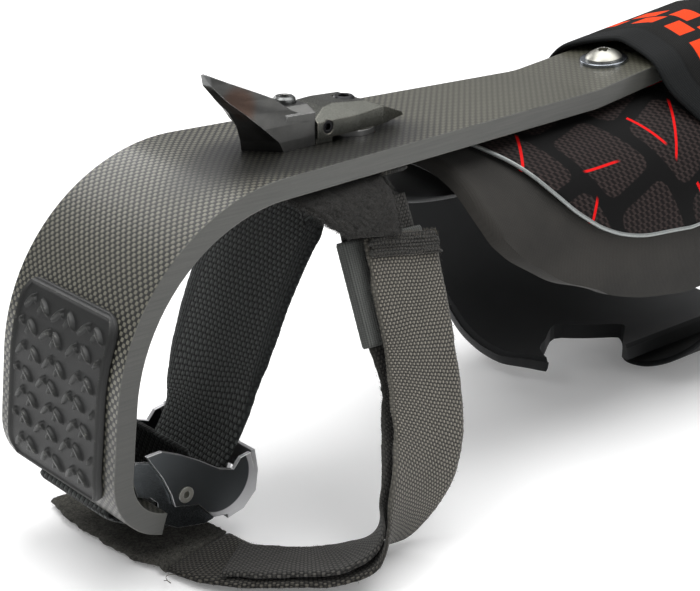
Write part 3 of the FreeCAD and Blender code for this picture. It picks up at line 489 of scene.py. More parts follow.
# ------------------------------------------------------------ materials
def m_laminate():
    g = G("laminate_weave")
    x, y, z = g.pos()
    # length along the band, from the straight shank round the arch to the lip
    a1 = rad(A_ARCH)
    th = g.atan2(-x, z + R_ARCH)
    s_arch = th * -R_ARCH
    ex, ez = -R_ARCH * math.sin(a1), -R_ARCH + R_ARCH * math.cos(a1)
    s_flat = -((x - ex) * -math.cos(a1) + (z - ez) * -math.sin(a1)) - R_ARCH * a1
    in_arch = g.gt(0.0, x)
    past = g.gt(th, a1)
    s = g.mix(in_arch, x, g.mix(past, s_arch, s_flat))
    low = g.gt(-94.0, z)
    cx, cz = -54.4, -96.4
    thl = g.atan2(cx - x, z - cz)
    s = g.mix(low * in_arch, s, -(thl - a1) * R_LIP - R_ARCH * a1 - FOOT_FLAT)
    wob = g.noise(g.vec(s * 0.02, y * 0.02, z * 0.01), 1.0, 2.0)
    P = 1.62
    h, par = plain_weave(g, s + wob * 0.9, y + wob * 0.6, P)
    nx, ny, nz = g.normal()
    side = g.step(g.abs(ny), 0.75, 0.9)
    # the weave shows strongly on the stirrup and dies down up the shank
    up = g.step(x, 20.0, 150.0)
    low_c = g.noise(g.vec(x * 0.012, y * 0.02, z * 0.02), 1.0, 3.0)
    thread = g.noise(g.vec(s * 2.2, y * 9.0, z), 1.0, 2.0)
    spot = g.step(par * h, 0.16, 0.62)
    vary = g.noise(g.vec(s * 0.42, y * 0.42, 4.0), 1.0, 2.0, 0.8)
    dark = g.col(up, lin(22, 22, 20), lin(64, 63, 54))
    light = g.col(up, lin(122, 120, 107), lin(90, 89, 77))
    face = g.col(spot * (0.30 + thread * 0.40 + vary * 0.55), dark, light)
    face = g.scale(face, 0.80 + low_c * 0.42)
    # painted shadow of the gaff and its clamp: the face darkened to 0.15 under and in front of the gaff
    dx = (x - 27.0) * 0.0180
    dy = (y + 12.0) * 0.036
    gl = g.step(dx * dx + dy * dy, 0.45, 1.45)
    face = g.scale(face, g.mix(gl, 0.15, 1.0))
    # painted shade: the face darker towards the bottom of the stirrup
    tr = g.step(z, -62.0, -84.0)
    face = g.scale(face, g.mix(tr, 1.0, 0.62))
    # machined sides: layers of cloth seen end on
    lay = g.noise(g.vec(s * 0.05, y * 0.05, z * 1.3), 1.0, 3.0)
    speck = g.noise(g.vec(x * 1.3, y * 1.3, z * 1.3), 1.0, 4.0, 0.7)
    sidec = g.col(lay, lin(62, 63, 60), lin(92, 92, 87))
    # painted shade: the machined sides darker towards the bottom of the stirrup
    sidec = g.scale(sidec, (0.82 + speck * 0.36) * g.mix(g.step(z, -10.0, -80.0), 0.82, 0.60))
    c = g.col(side, face, sidec)
    e = g.edge(0.9, 0.01, 0.16)
    edge_wear_and_highlight = g.noise(g.vec(x * 0.09, y * 0.09, z * 0.09), 1.0, 3.0)
    # edge wear and painted highlight: a lighter rim line along the edges, broken up by noise
    c = g.col(e * g.step(edge_wear_and_highlight, 0.25, 0.6) * 0.6, c, lin(128, 128, 122))
    rough = g.mix(side, 0.33 + spot * -0.10 + low_c * 0.12, 0.46 + speck * 0.12)
    g.bump(g.mix(side, h * 0.75 + thread * 0.12, speck * 0.25), 0.16, 0.55, base=g._bev)
    return g.set(color=c, rough=rough, metal=0.0, spec=0.5, coat=0.35, coat_rough=0.2)


def metal(name, c0, c1, rough, metalness=1.0, scale=0.35, bev=0.35, edge_wear_and_highlight=None, edge_wear_and_highlight_amt=0.6, streak=None, pit=0.03, spec=0.5):
    g = G(name)
    x, y, z = g.pos()
    n1 = g.noise(g.vec(x * scale, y * scale, z * scale), 1.0, 4.0, 0.6)
    n2 = g.noise(g.vec(x * 4.0, y * 4.0, z * 4.0), 1.0, 3.0, 0.7)
    if streak:
        n2 = g.noise(g.vec(*[q * k for q, k in zip((x, y, z), streak)]), 1.0, 3.0, 0.7)
    c = g.col(0.35 + (n1 - 0.5) * 0.5, c0, c1)
    c = g.scale(c, 0.90 + n2 * 0.20)
    r = rough + (n1 - 0.5) * 0.08 + (n2 - 0.5) * 0.10
    e = g.edge(bev, 0.01, 0.14)
    # edge wear and painted highlight: edges lightened toward the given edge colour
    if edge_wear_and_highlight:
        c = g.col(e * g.step(n1, 0.2, 0.6) * edge_wear_and_highlight_amt, c, edge_wear_and_highlight)
    g.bump(n2, pit, 0.7, base=g._bev)
    return g.set(color=c, rough=r, metal=metalness, spec=spec)


def m_gaff():
    g = G("gaff_forged")
    x, y, z = g.pos()
    nx, ny, nz = g.normal()
    n1 = g.noise(g.vec(x * 0.16, y * 0.16, z * 0.16), 1.0, 4.0, 0.6)
    n2 = g.noise(g.vec(x * 2.4, y * 2.4, z * 2.4), 1.0, 4.0, 0.7)
    c = g.col(0.4 + (n1 - 0.5) * 0.7, lin(70, 71, 71), lin(108, 107, 104))
    # rusty brown tint low on the near face
    rx, rz = (x - 1.5) * 0.13, (z - 18.5) * 0.12
    rust = g.step(rx * rx + rz * rz, 1.0, 0.2) * g.step(-y, 0.5, 3.0)
    c = g.col(rust * 0.55, c, lin(92, 60, 42))
    # ground front strip, bare and light
    black = g.step(-nx, 0.25, 0.6) * g.step(z, 26.0, 24.0)
    c = g.scale(c, g.mix(black, 1.0, 0.42))
    c = g.scale(c, 0.8 + n2 * 0.4)
    e = g.edge(0.6, 0.01, 0.15)
    # edge wear and painted highlight: edges lightened to pale grey
    c = g.col(e * g.step(n1, 0.25, 0.6) * 0.8, c, lin(190, 190, 190))
    tip = g.step(z, 25.8, 27.0) * g.step(-x, 7.4, 8.4)
    c = g.col(tip * 0.6, c, lin(142, 144, 144))
    g.bump(n2, 0.06, 0.8, base=g._bev)
    return g.set(color=c, rough=0.24 + n2 * 0.12 - e * 0.05, metal=0.9, spec=0.5)


def m_lever():
    g = G("lever_lit_and_shaded")
    x, y, z = g.pos()
    nx, ny, nz = g.normal()
    n1 = g.noise(g.vec(x * 0.2, y * 0.2, z * 0.2), 1.0, 3.0, 0.6)
    n2 = g.noise(g.vec(x * 5.0, y * 1.2, z * 5.0), 1.0, 3.0, 0.7)
    lx, lz = x + 26.5, z + 112.5
    # painted shade and painted light on one sheet metal: cheeks facing ±Y painted dark as shaded, the web and the
    # rolled strip painted bright as lit
    strip = g.step(g.sqrt(lx * lx + lz * lz), 12.7, 13.2) * g.step(x - z * 0.6, 38.0, 41.0)
    shaded_cheek = g.step(g.abs(ny), 0.7, 0.9) * (1.0 - strip)
    c = g.col(shaded_cheek, lin(206, 206, 208), lin(74, 77, 79))
    c = g.scale(c, 0.90 + n2 * 0.14 + n1 * 0.06)
    e = g.edge(0.5, 0.01, 0.14)
    # painted highlight along the edges
    c = g.col(e * 0.8, c, lin(240, 240, 238))
    g.bump(n2, 0.015, 0.6, base=g._bev)
    return g.set(color=c, rough=0.28 + n2 * 0.08, metal=0.92, spec=0.5)


def m_tread():
    g = G("tread_rubber")
    x, y, z = g.pos()
    n1 = g.noise(g.vec(x * 0.08, y * 0.08, z * 0.08), 1.0, 3.0)
    n2 = g.noise(g.vec(x * 2.6, y * 2.6, z * 2.6), 1.0, 4.0, 0.7)
    u, v = g.uv()
    # painted highlight on the lug tops, painted shade in the hollows between them: colour follows lug height; the
    # scuffs are real wear on the tops
    hi = g.step(u, 0.35, 1.1)
    c = g.col(hi, lin(17, 18, 17), lin(38, 39, 37))
    c = g.scale(c, 0.78 + n1 * 0.30 + n2 * 0.16)
    scuff = g.step(g.noise(g.vec(x * 0.5, y * 0.25, z * 0.7), 1.0, 4.0, 0.75), 0.56, 0.70)
    c = g.col(scuff * hi * 0.5, c, lin(128, 128, 122))
    g.bump(n2, 0.09, 0.8)
    return g.set(color=c, rough=0.42 + n2 * 0.15 - hi * 0.1, metal=0.0, spec=0.5)


def m_webbing(name, dark, light, pu, pv, bump=0.35, rough=0.75, sheen=0.12, contrast=0.75, selv=None, half=19.0, fleck=None, run_shade_and_tone=None):
    g = G(name)
    u, v = g.uv()
    wob = g.noise(g.vec(u * 0.05, v * 0.05, 0.0), 1.0, 3.0)
    uu, vv = u + wob * pu * 1.6, v + wob * pv * 0.8
    h, par = plain_weave(g, uu, vv, pu, pv)
    fib = g.noise(g.vec(u * 3.0, v * 9.0, 1.5), 1.0, 3.0, 0.7)
    big = g.noise(g.vec(u * 0.035, v * 0.06, 3.0), 1.0, 3.0)
    f = g.step(h * (0.55 + par * 0.45), 0.25, 0.95)
    c = g.col(f * contrast * (0.7 + fib * 0.6), dark, light)
    c = g.scale(c, 0.74 + big * 0.38 + fib * 0.12)
    if fleck:
        spk = g.step(g.noise(g.vec(u * 1.7, v * 1.7, 7.0), 1.0, 2.0, 0.8), 0.66, 0.76)
        c = g.col(spk * 0.55, c, fleck)
    if selv:
        e = g.step(g.abs(v), half - 2.2, half - 0.8)
        c = g.col(e * 0.7, c, selv)
    # darker lower run: partly painted shade, partly darker webbing there
    if run_shade_and_tone:
        c = g.scale(c, g.mix(g.step(u, run_shade_and_tone[0], run_shade_and_tone[1]), 1.0, run_shade_and_tone[2]))
    g.bump(h + fib * 0.35, bump, 0.9)
    return g.set(color=c, rough=rough + fib * 0.1, metal=0.0, spec=0.25, sheen=sheen, sheen_rough=0.45)


def m_fuzz(name, dark, light, sheen=0.5):
    g = G(name)
    x, y, z = g.pos()
    n1 = g.noise(g.vec(x * 0.9, y * 0.9, z * 0.9), 1.0, 4.0, 0.75)
    n2 = g.noise(g.vec(x * 4.5, y * 4.5, z * 4.5), 1.0, 3.0, 0.8)
    n3 = g.noise(g.vec(x * 0.12, y * 0.12, z * 0.12), 1.0, 2.0)
    c = g.col(g.step(n1 * 0.5 + n2 * 0.5, 0.36, 0.66), dark, light)
    c = g.scale(c, 0.72 + n3 * 0.5)
    g.bump(n1 * 0.5 + n2, 0.7, 1.0)
    return g.set(color=c, rough=0.9, metal=0.0, spec=0.15, sheen=sheen, sheen_rough=0.5)


def m_elastic():
    g = G("elastic_rib")
    u, v = g.uv()
    rib = g.abs(g.sin(v * (math.pi / 1.15)))
    cross = g.abs(g.sin(u * (math.pi / 0.8)))
    fib = g.noise(g.vec(u * 3.0, v * 8.0, 0.0), 1.0, 3.0, 0.7)
    h = g.sqrt(rib) * (0.7 + 0.3 * cross)
    c = g.col(h * (0.5 + fib * 0.7), lin(34, 36, 35), lin(112, 114, 111))
    g.bump(h, 0.3, 0.9)
    return g.set(color=c, rough=0.8, metal=0.0, spec=0.2, sheen=0.2, sheen_rough=0.4)


def m_neoprene():
    g = G("neoprene_face")
    u, v = g.uv("UVMap")
    x, y, z = g.pos()
    knit = g.abs(g.sin(u * (math.pi / 0.85))) * g.abs(g.sin(v * (math.pi / 0.62)))
    n1 = g.noise(g.vec(x * 0.028, y * 0.028, z * 0.028), 1.0, 4.0)
    n2 = g.noise(g.vec(x * 3.5, y * 3.5, z * 3.5), 1.0, 3.0, 0.7)
    c = g.col(g.step(n1, 0.3, 0.7), lin(40, 39, 37), lin(53, 51, 48))
    c = g.scale(c, 0.80 + knit * 0.22 + n2 * 0.22)
    g.bump(knit * 0.6 + n2 * 0.6, 0.10, 0.8)
    return g.set(color=c, rough=0.78 + n2 * 0.12, metal=0.0, spec=0.25, sheen=0.12, sheen_rough=0.4)


def m_lining():
    g = G("cuff_lining")
    x, y, z = g.pos()
    n1 = g.noise(g.vec(x * 0.03, y * 0.03, z * 0.03), 1.0, 3.0)
    n2 = g.noise(g.vec(x * 2.8, y * 2.8, z * 2.8), 1.0, 4.0, 0.75)
    c = g.col(n1, lin(20, 21, 22), lin(38, 39, 40))
    c = g.scale(c, 0.75 + n2 * 0.5)
    g.bump(n2, 0.12, 0.8)
    return g.set(color=c, rough=0.7 + n2 * 0.15, metal=0.0, spec=0.35, sheen=0.2, sheen_rough=0.4)


def m_print():
    """Shell: woven-look panels parted by black bands, with thin red lines."""
    g = G("shell_print")
    u, v = g.uv()           # u along X, v round the section, mm
    w1 = g.noise(g.vec(u * 0.012, v * 0.012, 2.0), 1.0, 1.0)
    # slanted lattice of panels
    a = u * 0.0245 + v * 0.0092 + w1 * 0.25
    b = v * 0.0215 - u * 0.0075 + w1 * 0.2
    ra = g.floor(a)
    bo = b + ra * 0.42
    fa, fb = g.frac(a), g.frac(bo)
    da = g.min(fa, 1.0 - fa) * 38.0
    db = g.min(fb, 1.0 - fb) * 43.0
    d = g.min(da, db)
    # rounded panel corners
    ka, kb = g.max(9.0 - da, 0.0), g.max(9.0 - db, 0.0)
    rr = 9.0 - g.sqrt(ka * ka + kb * kb)
    d = g.min(d, rr)
    panel = g.step(d, 3.1, 3.7)
    # woven look in the panels
    t1 = g.frac((u + v * 0.55) * 0.31 + g.floor(v * 0.42) * 0.5)
    t2 = g.frac(v * 0.42)
    tow = g.step(g.abs(t1 - 0.5), 0.12, 0.42) * (0.6 + g.abs(t2 - 0.5) * 0.8)
    nz = g.noise(g.vec(u * 0.16, v * 0.5, 0.0), 1.0, 3.0)
    fill = g.col(tow * (0.45 + nz * 0.9), lin(17, 13, 13), lin(60, 50, 48))
    c = g.col(panel, lin(5, 5, 5), fill)
    # red hairlines: one set crossing the panels, one short set beside the bands
    cell = g.frac(ra * 0.5)
    l1 = g.abs(fb - 0.5 - (fa - 0.5) * 0.62) * 43.0
    line1 = g.step(l1, 1.0, 0.55) * g.step(fa, 0.22, 0.3) * g.step(fa, 0.98, 0.9) * g.gt(cell, 0.25)
    l2 = g.abs(fa - 0.30) * 38.0
    line2 = g.step(l2, 0.95, 0.5) * g.step(fb, 0.5, 0.56) * g.gt(cell, 0.25)
    l3 = g.abs(fb - 0.36 + (fa - 0.5) * 0.3) * 43.0
    line3 = g.step(l3, 0.85, 0.45) * g.step(fa, 0.05, 0.12) * g.step(fa, 0.62, 0.5) * g.gt(0.25, cell)
    red = g.max(g.max(line1, line2), line3)
    c = g.col(red, c, lin(226, 12, 14))
    n2 = g.noise(g.vec(u * 2.2, v * 2.2, 0.0), 1.0, 3.0, 0.7)
    c = g.scale(c, 0.86 + n2 * 0.26)
    g.bump(tow * 0.25 * panel + n2 * 0.4, 0.06, 0.6)
    return g.set(color=c, rough=0.62 + n2 * 0.15, metal=0.0, spec=0.14, sheen=0.02, sheen_rough=0.4)


def m_piping():
    g = G("silver_piping")
    x, y, z = g.pos()
    n = g.noise(g.vec(x * 1.2, y * 1.2, z * 1.2), 1.0, 3.0, 0.7)
    bead = g.voronoi(g.vec(x * 2.6, y * 2.6, z * 2.6), 1.0)
    c = g.col(n, lin(120, 124, 124), lin(178, 182, 180))
    g.bump(bead, 0.08, 0.5)
    return g.set(color=c, rough=0.32 + n * 0.15, metal=0.55, spec=0.6)


def m_calf():
    g = G("calf_strap_weave")
    u, v = g.uv()          # u round the strap, v across it
    x, y, z = g.pos()
    rib = g.abs(g.sin(v * (math.pi / 0.9)))
    tw = g.abs(g.sin((u * 0.9 + v * 1.6) * 1.5))
    n2 = g.noise(g.vec(u * 1.6, v * 3.6, 0.0), 1.0, 3.0, 0.7)
    big = g.noise(g.vec(u * 0.03, v * 0.05, 0.0), 1.0, 3.0)
    band = g.step(v, 15.0, 17.0)
    inner = g.col(rib * 0.5 + n2 * 0.5, lin(8, 8, 8), lin(20, 20, 19))
    rib2 = g.abs(g.sin(v * (math.pi / 1.3)))
    outer = g.col(n2 * 0.6 + rib2 * 0.4, lin(9, 10, 10), lin(24, 26, 27))
    c = g.col(band, outer, inner)
    ridge = g.step(g.abs(v - 16.0), 1.3, 0.3)
    c = g.scale(c, (1.0 - ridge * 0.45) * (0.76 + big * 0.5))
    # two rows of plain blocks, staggered
    row = g.floor((v - 24.0) * (1.0 / 13.0))
    k = g.frac((u + row * 9.0) * (1.0 / 17.0))
    m_ = g.frac((v - 24.0) * (1.0 / 13.0))
    blk = g.step(k, 0.10, 0.13) * g.step(k, 0.74, 0.71) * g.step(m_, 0.08, 0.12) * g.step(m_, 0.92, 0.88)
    mask = g.step(v, 24.0, 24.3) * g.step(v, 50.2, 49.8) * g.step(u, -46.0, -45.0) * g.step(u, 24.0, 23.0)
    c = g.col(blk * mask * (0.92 + n2 * 0.08), c, lin(240, 66, 18))
    g.bump(g.mix(band, rib2 * 0.7 + tw * 0.35 + n2 * 0.5, rib + tw * 0.3), 0.16, 0.8)
    return g.set(color=c, rough=0.66 + n2 * 0.14, metal=0.0, spec=0.15, sheen=0.02, sheen_rough=0.4)


def m_thread(name, c0, c1):
    g = G(name)
    x, y, z = g.pos()
    n = g.noise(g.vec(x * 2.0, y * 2.0, z * 2.0), 1.0, 3.0, 0.7)
    c = g.col(n, c0, c1)
    g.bump(n, 0.1, 0.6)
    return g.set(color=c, rough=0.75, metal=0.0, spec=0.25, sheen=0.2, sheen_rough=0.4)


def paint(node, mat):
    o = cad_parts[node]
    if not o.material_slots:
        o.data.materials.append(mat)
    for s in o.material_slots:
        s.material = mat


M_LAM = m_laminate()
paint("shank", M_LAM)
paint("gaff", m_gaff())
M_SILVER = metal("screw_silver", lin(150, 149, 142), lin(196, 194, 184), 0.36, bev=0.3, edge_wear_and_highlight=lin(250, 250, 248), pit=0.015)
M_WASHER = metal("washer_polished", lin(132, 138, 146), lin(184, 188, 194), 0.22, bev=0.3, edge_wear_and_highlight=lin(250, 250, 250), pit=0.01)
M_GAFF_SCREW = metal("gaff_screw_face", lin(96, 98, 98), lin(140, 141, 140), 0.30, bev=0.3, edge_wear_and_highlight=lin(226, 224, 216), pit=0.02)
M_CLAMP = metal("clamp_black", lin(74, 75, 71), lin(108, 108, 101), 0.27, metalness=0.85, scale=0.14, bev=0.7, edge_wear_and_highlight=lin(176, 170, 158), pit=0.035)
M_BLACK = metal("screw_black", lin(30, 30, 32), lin(52, 52, 54), 0.34, metalness=0.8, bev=0.3, edge_wear_and_highlight=lin(120, 120, 120), pit=0.02)
M_STEEL = metal("plate_satin", lin(128, 128, 128), lin(166, 166, 164), 0.36, bev=0.35, edge_wear_and_highlight=lin(214, 214, 212), streak=(0.4, 5.0, 5.0), pit=0.02)
M_FRAME = metal("buckle_dark", lin(58, 61, 63), lin(92, 96, 98), 0.27, metalness=0.9, scale=0.10, bev=0.55, edge_wear_and_highlight=lin(226, 228, 230), edge_wear_and_highlight_amt=0.9, pit=0.02)
M_BRASS = metal("roller_brass", lin(120, 100, 54), lin(196, 170, 108), 0.24, bev=0.4, edge_wear_and_highlight=lin(244, 226, 176), streak=(3.0, 0.25, 3.0), pit=0.02)
paint("gaff_screw", M_GAFF_SCREW)
paint("gaff_clamp", M_CLAMP)
paint("clamp_screw", M_BLACK)
paint("side_lock_screw", M_BLACK)
paint("clamp_spacer", M_STEEL)
paint("strap_plate", M_STEEL)
paint("gaff_nuts", M_STEEL)
paint("buckle_frame", M_FRAME)
paint("roller_pin", M_SILVER)
paint("buckle_roller", M_BRASS)
paint("buckle_rivets", M_SILVER)
paint("buckle_lever", m_lever())
paint("cuff_saddle", M_STEEL)
paint("cuff_screws", M_SILVER)
paint("cuff_washers", M_WASHER)
paint("cuff_tee_nuts", M_STEEL)


# ------------------------------------------------------------ tread
def arch_pt(h, off=0.0):
    r = R_ARCH - off
    return np.array([-r * math.sin(h), -R_ARCH + r * math.cos(h)])


def band_pt(s, off):
    """Point of the stirrup at length s (on the outer face) from the start of
    the arch; returns XZ and outward normal."""
    a1 = rad(A_ARCH)
    la = R_ARCH * a1
    if s <= la:
        h = s / R_ARCH
        n = np.array([-math.sin(h), math.cos(h)])
        return np.array([0.0, -R_ARCH]) + n * (R_ARCH - off), n
    n = np.array([-math.sin(a1), math.cos(a1)])
    d = np.array([-math.cos(a1), -math.sin(a1)])
    e = np.array([0.0, -R_ARCH]) + n * (R_ARCH - off)
    if s <= la + FOOT_FLAT:
        return e + d * (s - la), n
    c2 = np.array([0.0, -R_ARCH]) + n * R_ARCH + d * FOOT_FLAT - n * R_LIP
    h = a1 + (s - la - FOOT_FLAT) / R_LIP
    n = np.array([-math.sin(h), math.cos(h)])
    return c2 + n * (R_LIP - off), n


TREAD_HALF, TREAD_T = 30.0, 3.2
S0, S1 = R_ARCH * rad(60.6), R_ARCH * rad(A_ARCH) + FOOT_FLAT + R_LIP * rad(29.0)


def lug(u, v, cu, cv, L, Wd, ang):
    """Height 0..1 of one lens-shaped lug."""
    c, s = math.cos(ang), math.sin(ang)
    a = (u - cu) * c + (v - cv) * s
    b = -(u - cu) * s + (v - cv) * c
    e = 1.0 - (a / L) ** 2
    w = Wd * np.clip(e, 0, 1)
    return np.clip((w - np.abs(b)) / (Wd * 0.55) + 0.0, 0, 1) * (e > 0)


def tread():
    ns, nv = 190, 150
    ss, vs = np.linspace(S0, S1, ns), np.linspace(-TREAD_HALF, TREAD_HALF, nv)
    Sg, Vg = np.meshgrid(ss, vs, indexing="ij")
    mid = (S0 + S1) / 2
    hl = (S1 - S0) / 2
    # rounded outline by squeezing the grid's corners in
    R = 9.0
    du = Sg - mid
    k = np.maximum(np.abs(du) - (hl - R), 0) / R
    lim = TREAD_HALF - R + R * np.sqrt(np.clip(1 - k ** 2, 0, 1))
    Vr = Vg / TREAD_HALF * lim
    Hh = np.zeros_like(Sg)
    p = 18.0
    rng = np.random.default_rng(5)
    p = 8.6
    for i in range(-7, 8):
        for j in range(-5, 6):
            cu, cv = mid + i * p, j * p + (p / 2 if i % 2 else 0)
            ju, jv = rng.normal(0, 0.3, 2)
            ang = rad(38) if (i + j) % 2 else rad(-52)
            Hh = np.maximum(Hh, lug(Sg, Vr, cu + ju, cv + jv, 4.3, 1.35, ang + rng.normal(0, .05)))
            if (i + j) % 2 == 0:
                Hh = np.maximum(Hh, 0.75 * lug(Sg, Vr, cu + ju + 1.2, cv + jv + 2.2, 2.6, 0.9, ang + rad(80)))
            else:
                Hh = np.maximum(Hh, 0.6 * lug(Sg, Vr, cu + ju - 1.0, cv + jv - 2.2, 2.2, 0.8, ang + rad(95)))
    d_edge = np.minimum(lim - np.abs(Vr), (hl - np.abs(du)))
    margin = np.clip((d_edge - 4.2) / 1.0, 0, 1)
    Hh = Hh * margin
    rim = np.clip(1 - np.abs(d_edge - 2.1) / 0.95, 0, 1) * 0.75
    Hh = np.maximum(Hh, rim)
    Hh = Hh * Hh * (3 - 2 * Hh)
    top = TREAD_T - 1.35 + Hh * 1.35
    fall = np.clip(d_edge / 0.9, 0, 1)
    top = top * (0.25 + 0.75 * np.sqrt(np.clip(1 - (1 - fall) ** 2, 0, 1)))
    V, UV = [], []
    for i in range(ns):
        q, n = band_pt(ss[i], 0.0)
        for j in range(nv):
            o = q + n * max(top[i, j], 0.25)
            V.append((o[0], Vr[i, j], o[1]))
            # u carries the lug height, which drives the painted highlight on the lug tops
            UV.append((Hh[i, j] * 1.5, 0.0))
    base = len(V)
    F = []
    for i in range(ns - 1):
        for j in range(nv - 1):
            a = i * nv + j
            F.append((a, a + nv, a + nv + 1, a + 1))
    ring = [j for j in range(nv)] + [i * nv + nv - 1 for i in range(1, ns)] + [(ns - 1) * nv + j for j in range(nv - 2, -1, -1)] + [i * nv for i in range(ns - 2, 0, -1)]
    for r_ in ring:
        i, j = divmod(r_, nv)
        q, n = band_pt(ss[i], 0.0)
        o = q + n * 0.04
        V.append((o[0], Vr[i, j], o[1]))
        UV.append((0, 0))
    m = len(ring)
    for a in range(m):
        b = (a + 1) % m
        F.append((ring[a], ring[b], base + b, base + a))
    # back face: same grid laid on the band
    k0 = len(V)
    idx = {}
    for a, r_ in enumerate(ring):
        idx[r_] = base + a
    for i in range(1, ns - 1):
        q, n = band_pt(ss[i], 0.0)
        o = q + n * 0.04
        for j in range(1, nv - 1):
            idx[i * nv + j] = len(V)
            V.append((o[0], Vr[i, j], o[1]))
            UV.append((0, 0))
    for i in range(ns - 1):
        for j in range(nv - 1):
            a = i * nv + j
            F.append((idx[a], idx[a + 1], idx[a + nv + 1], idx[a + nv]))
    return make("tread_moulding", V, F, m_tread(), "tread", ["tread_pad"], uv=UV)


tread()

# ------------------------------------------------------------ straps
M_INSTEP = m_webbing("instep_weave", lin(17, 18, 18), lin(92, 96, 94), 2.0, 1.35, bump=0.55, contrast=0.9, selv=lin(34, 37, 37), half=24.0)
M_GREY = m_webbing("ankle_weave", lin(30, 29, 27), lin(146, 141, 130), 1.3, 0.95, bump=0.40, contrast=0.92, selv=lin(84, 82, 76), half=19.0)
# lower run darkened: partly painted shade, partly darker webbing
M_OUTER = m_webbing("ankle_weave_outer", lin(30, 29, 27), lin(146, 141, 130), 1.3, 0.95, bump=0.40, contrast=0.92, selv=lin(84, 82, 76), half=19.0, run_shade_and_tone=(88.0, 128.0, 0.36))
M_DARKWEB = m_webbing("ankle_weave_dark", lin(22, 22, 21), lin(84, 82, 78), 1.3, 0.95, bump=0.40, contrast=0.92, selv=lin(60, 60, 57), half=19.0)
M_FUZZ = m_fuzz("loop_pile", lin(15, 15, 14), lin(66, 64, 60), sheen=0.12)
M_HAIR = m_thread("loose_fibre", lin(60, 57, 52), lin(120, 114, 104))
M_DARKHAIR = m_thread("dark_fibre", lin(30, 30, 28), lin(66, 64, 60))
M_HOOK = m_fuzz("hook_face", lin(22, 22, 21), lin(118, 116, 108), sheen=0.08)

HW = 22.5
ROLLER = (-30.5, -124.2)
rr = 2.6 + 0.45 + STRAP_T / 2


def fs_st(x, z, y=0.0, h=None):
    return ((x, y, z), (0, 1, 0), HW if h is None else h)


fs = [fs_st(70.0, -9.2), fs_st(56.0, -9.2), fs_st(42.0, -9.2), fs_st(38.5, -10.9), fs_st(35.6, -14.5), fs_st(31.5, -20.0, 4.6, 27.6),
      fs_st(25.0, -29.0, 6, 30), fs_st(12.0, -50.0, 6, 30), fs_st(-3.0, -80.0, 4, 28), fs_st(-11.0, -96.0, 0.6, 24.2), fs_st(-16.0, -106.0),
      fs_st(-22.5, -116.0)]
fs += [fs_st(ROLLER[0] + rr * math.cos(rad(a)), ROLLER[1] + rr * math.sin(rad(a))) for a in (14, -18, -50, -82, -115, -148, -180, -205)]
fs += [fs_st(-34.4, -116.5), fs_st(-35.0, -108.0), fs_st(-37.0, -100.0)]
foot = Strap(fs, STRAP_T, step=1.1, across=26, edge_amp=0.22, seed=3)
foot.build("instep_strap", M_INSTEP, "instep_webbing", ["foot_strap"])

BAR = (-44.0, -123.6)


def lip_off(r, hdeg):
    a1 = rad(A_ARCH)
    n = np.array([-math.sin(a1), math.cos(a1)])
    d = np.array([-math.cos(a1), -math.sin(a1)])
    c2 = np.array([0.0, -R_ARCH]) + n * R_ARCH + d * FOOT_FLAT - n * R_LIP
    return (c2[0] - r * math.sin(rad(hdeg)), c2[1] + r * math.cos(rad(hdeg)))


def bar_pt(a, r=3.6):
    return (BAR[0] + r * math.cos(rad(a)), BAR[1] + r * math.sin(rad(a)))


loop = [lip_off(20.0, 139.5), lip_off(14.6, 143), lip_off(14.5, 152), lip_off(14.5, 162), (-55.6, -110.9), (-52.8, -114.2), (-49.6, -118.0),
        bar_pt(80), bar_pt(35), bar_pt(-10), bar_pt(-55), bar_pt(-100), (-53.0, -126.6), (-58.6, -123.6),
        lip_off(25.5, 160), lip_off(25.4, 151), lip_off(25.4, 142), lip_off(25.2, 135), lip_off(21.0, 136)]
anchor = Strap([((p[0], 0, p[1]), (0, 1, 0), HW - 0.3) for p in loop], 1.9, step=1.0, across=22, edge_amp=0.15, seed=8)
anchor.build("buckle_webbing", M_INSTEP, "instep_webbing", ["buckle_anchor_webbing"])

outer_st = [((51.5, -37.8, -32.6), (.97, 0, -.24), 19), ((50.0, -42.4, -42), (.975, 0, -.22), 19), ((47.9, -48.8, -54.8), (.98, 0, -.2), 19),
            ((45.4, -57, -71.5), (.97, 0, -.24), 19), ((40.4, -66, -86.5), (.97, .03, -.22), 19), ((33.0, -74.5, -99.5), (.96, .1, -.2), 19),
            ((23.2, -80.0, -113), (.95, .22, -.2), 19), ((13.6, -80.4, -126.0), (.9, .36, -.2), 18.5), ((4, -77.5, -133.2), (.80, .58, -.14), 18),
            ((-8.2, -72.6, -136.0), (.72, .69, -.1), 16.5), ((-21.9, -62.5, -136.4), (.66, .75, -.1), 15.5), ((-34.4, -45.2, -137.8), (.8, .6, -.04), 16),
            ((-37.5, -28.5, -138.75), (.9, .42, 0), 17)]
outer = Strap(outer_st, STRAP_T, step=1.1, across=24, edge_amp=0.28, seed=21, ripple=0.10)
outer.build("ankle_webbing_outer", M_OUTER, "grey_webbing", ["ankle_strap_outer"])

KEEP_P = np.array([46.5, -30.5, -30.0])
KEEP_D = np.array([-2.0, -25.0, -52.0])
KEEP_D /= np.linalg.norm(KEEP_D)
KEEP_W = np.array([.975, 0, -.15])


def along(s):
    return tuple(KEEP_P + KEEP_D * s)


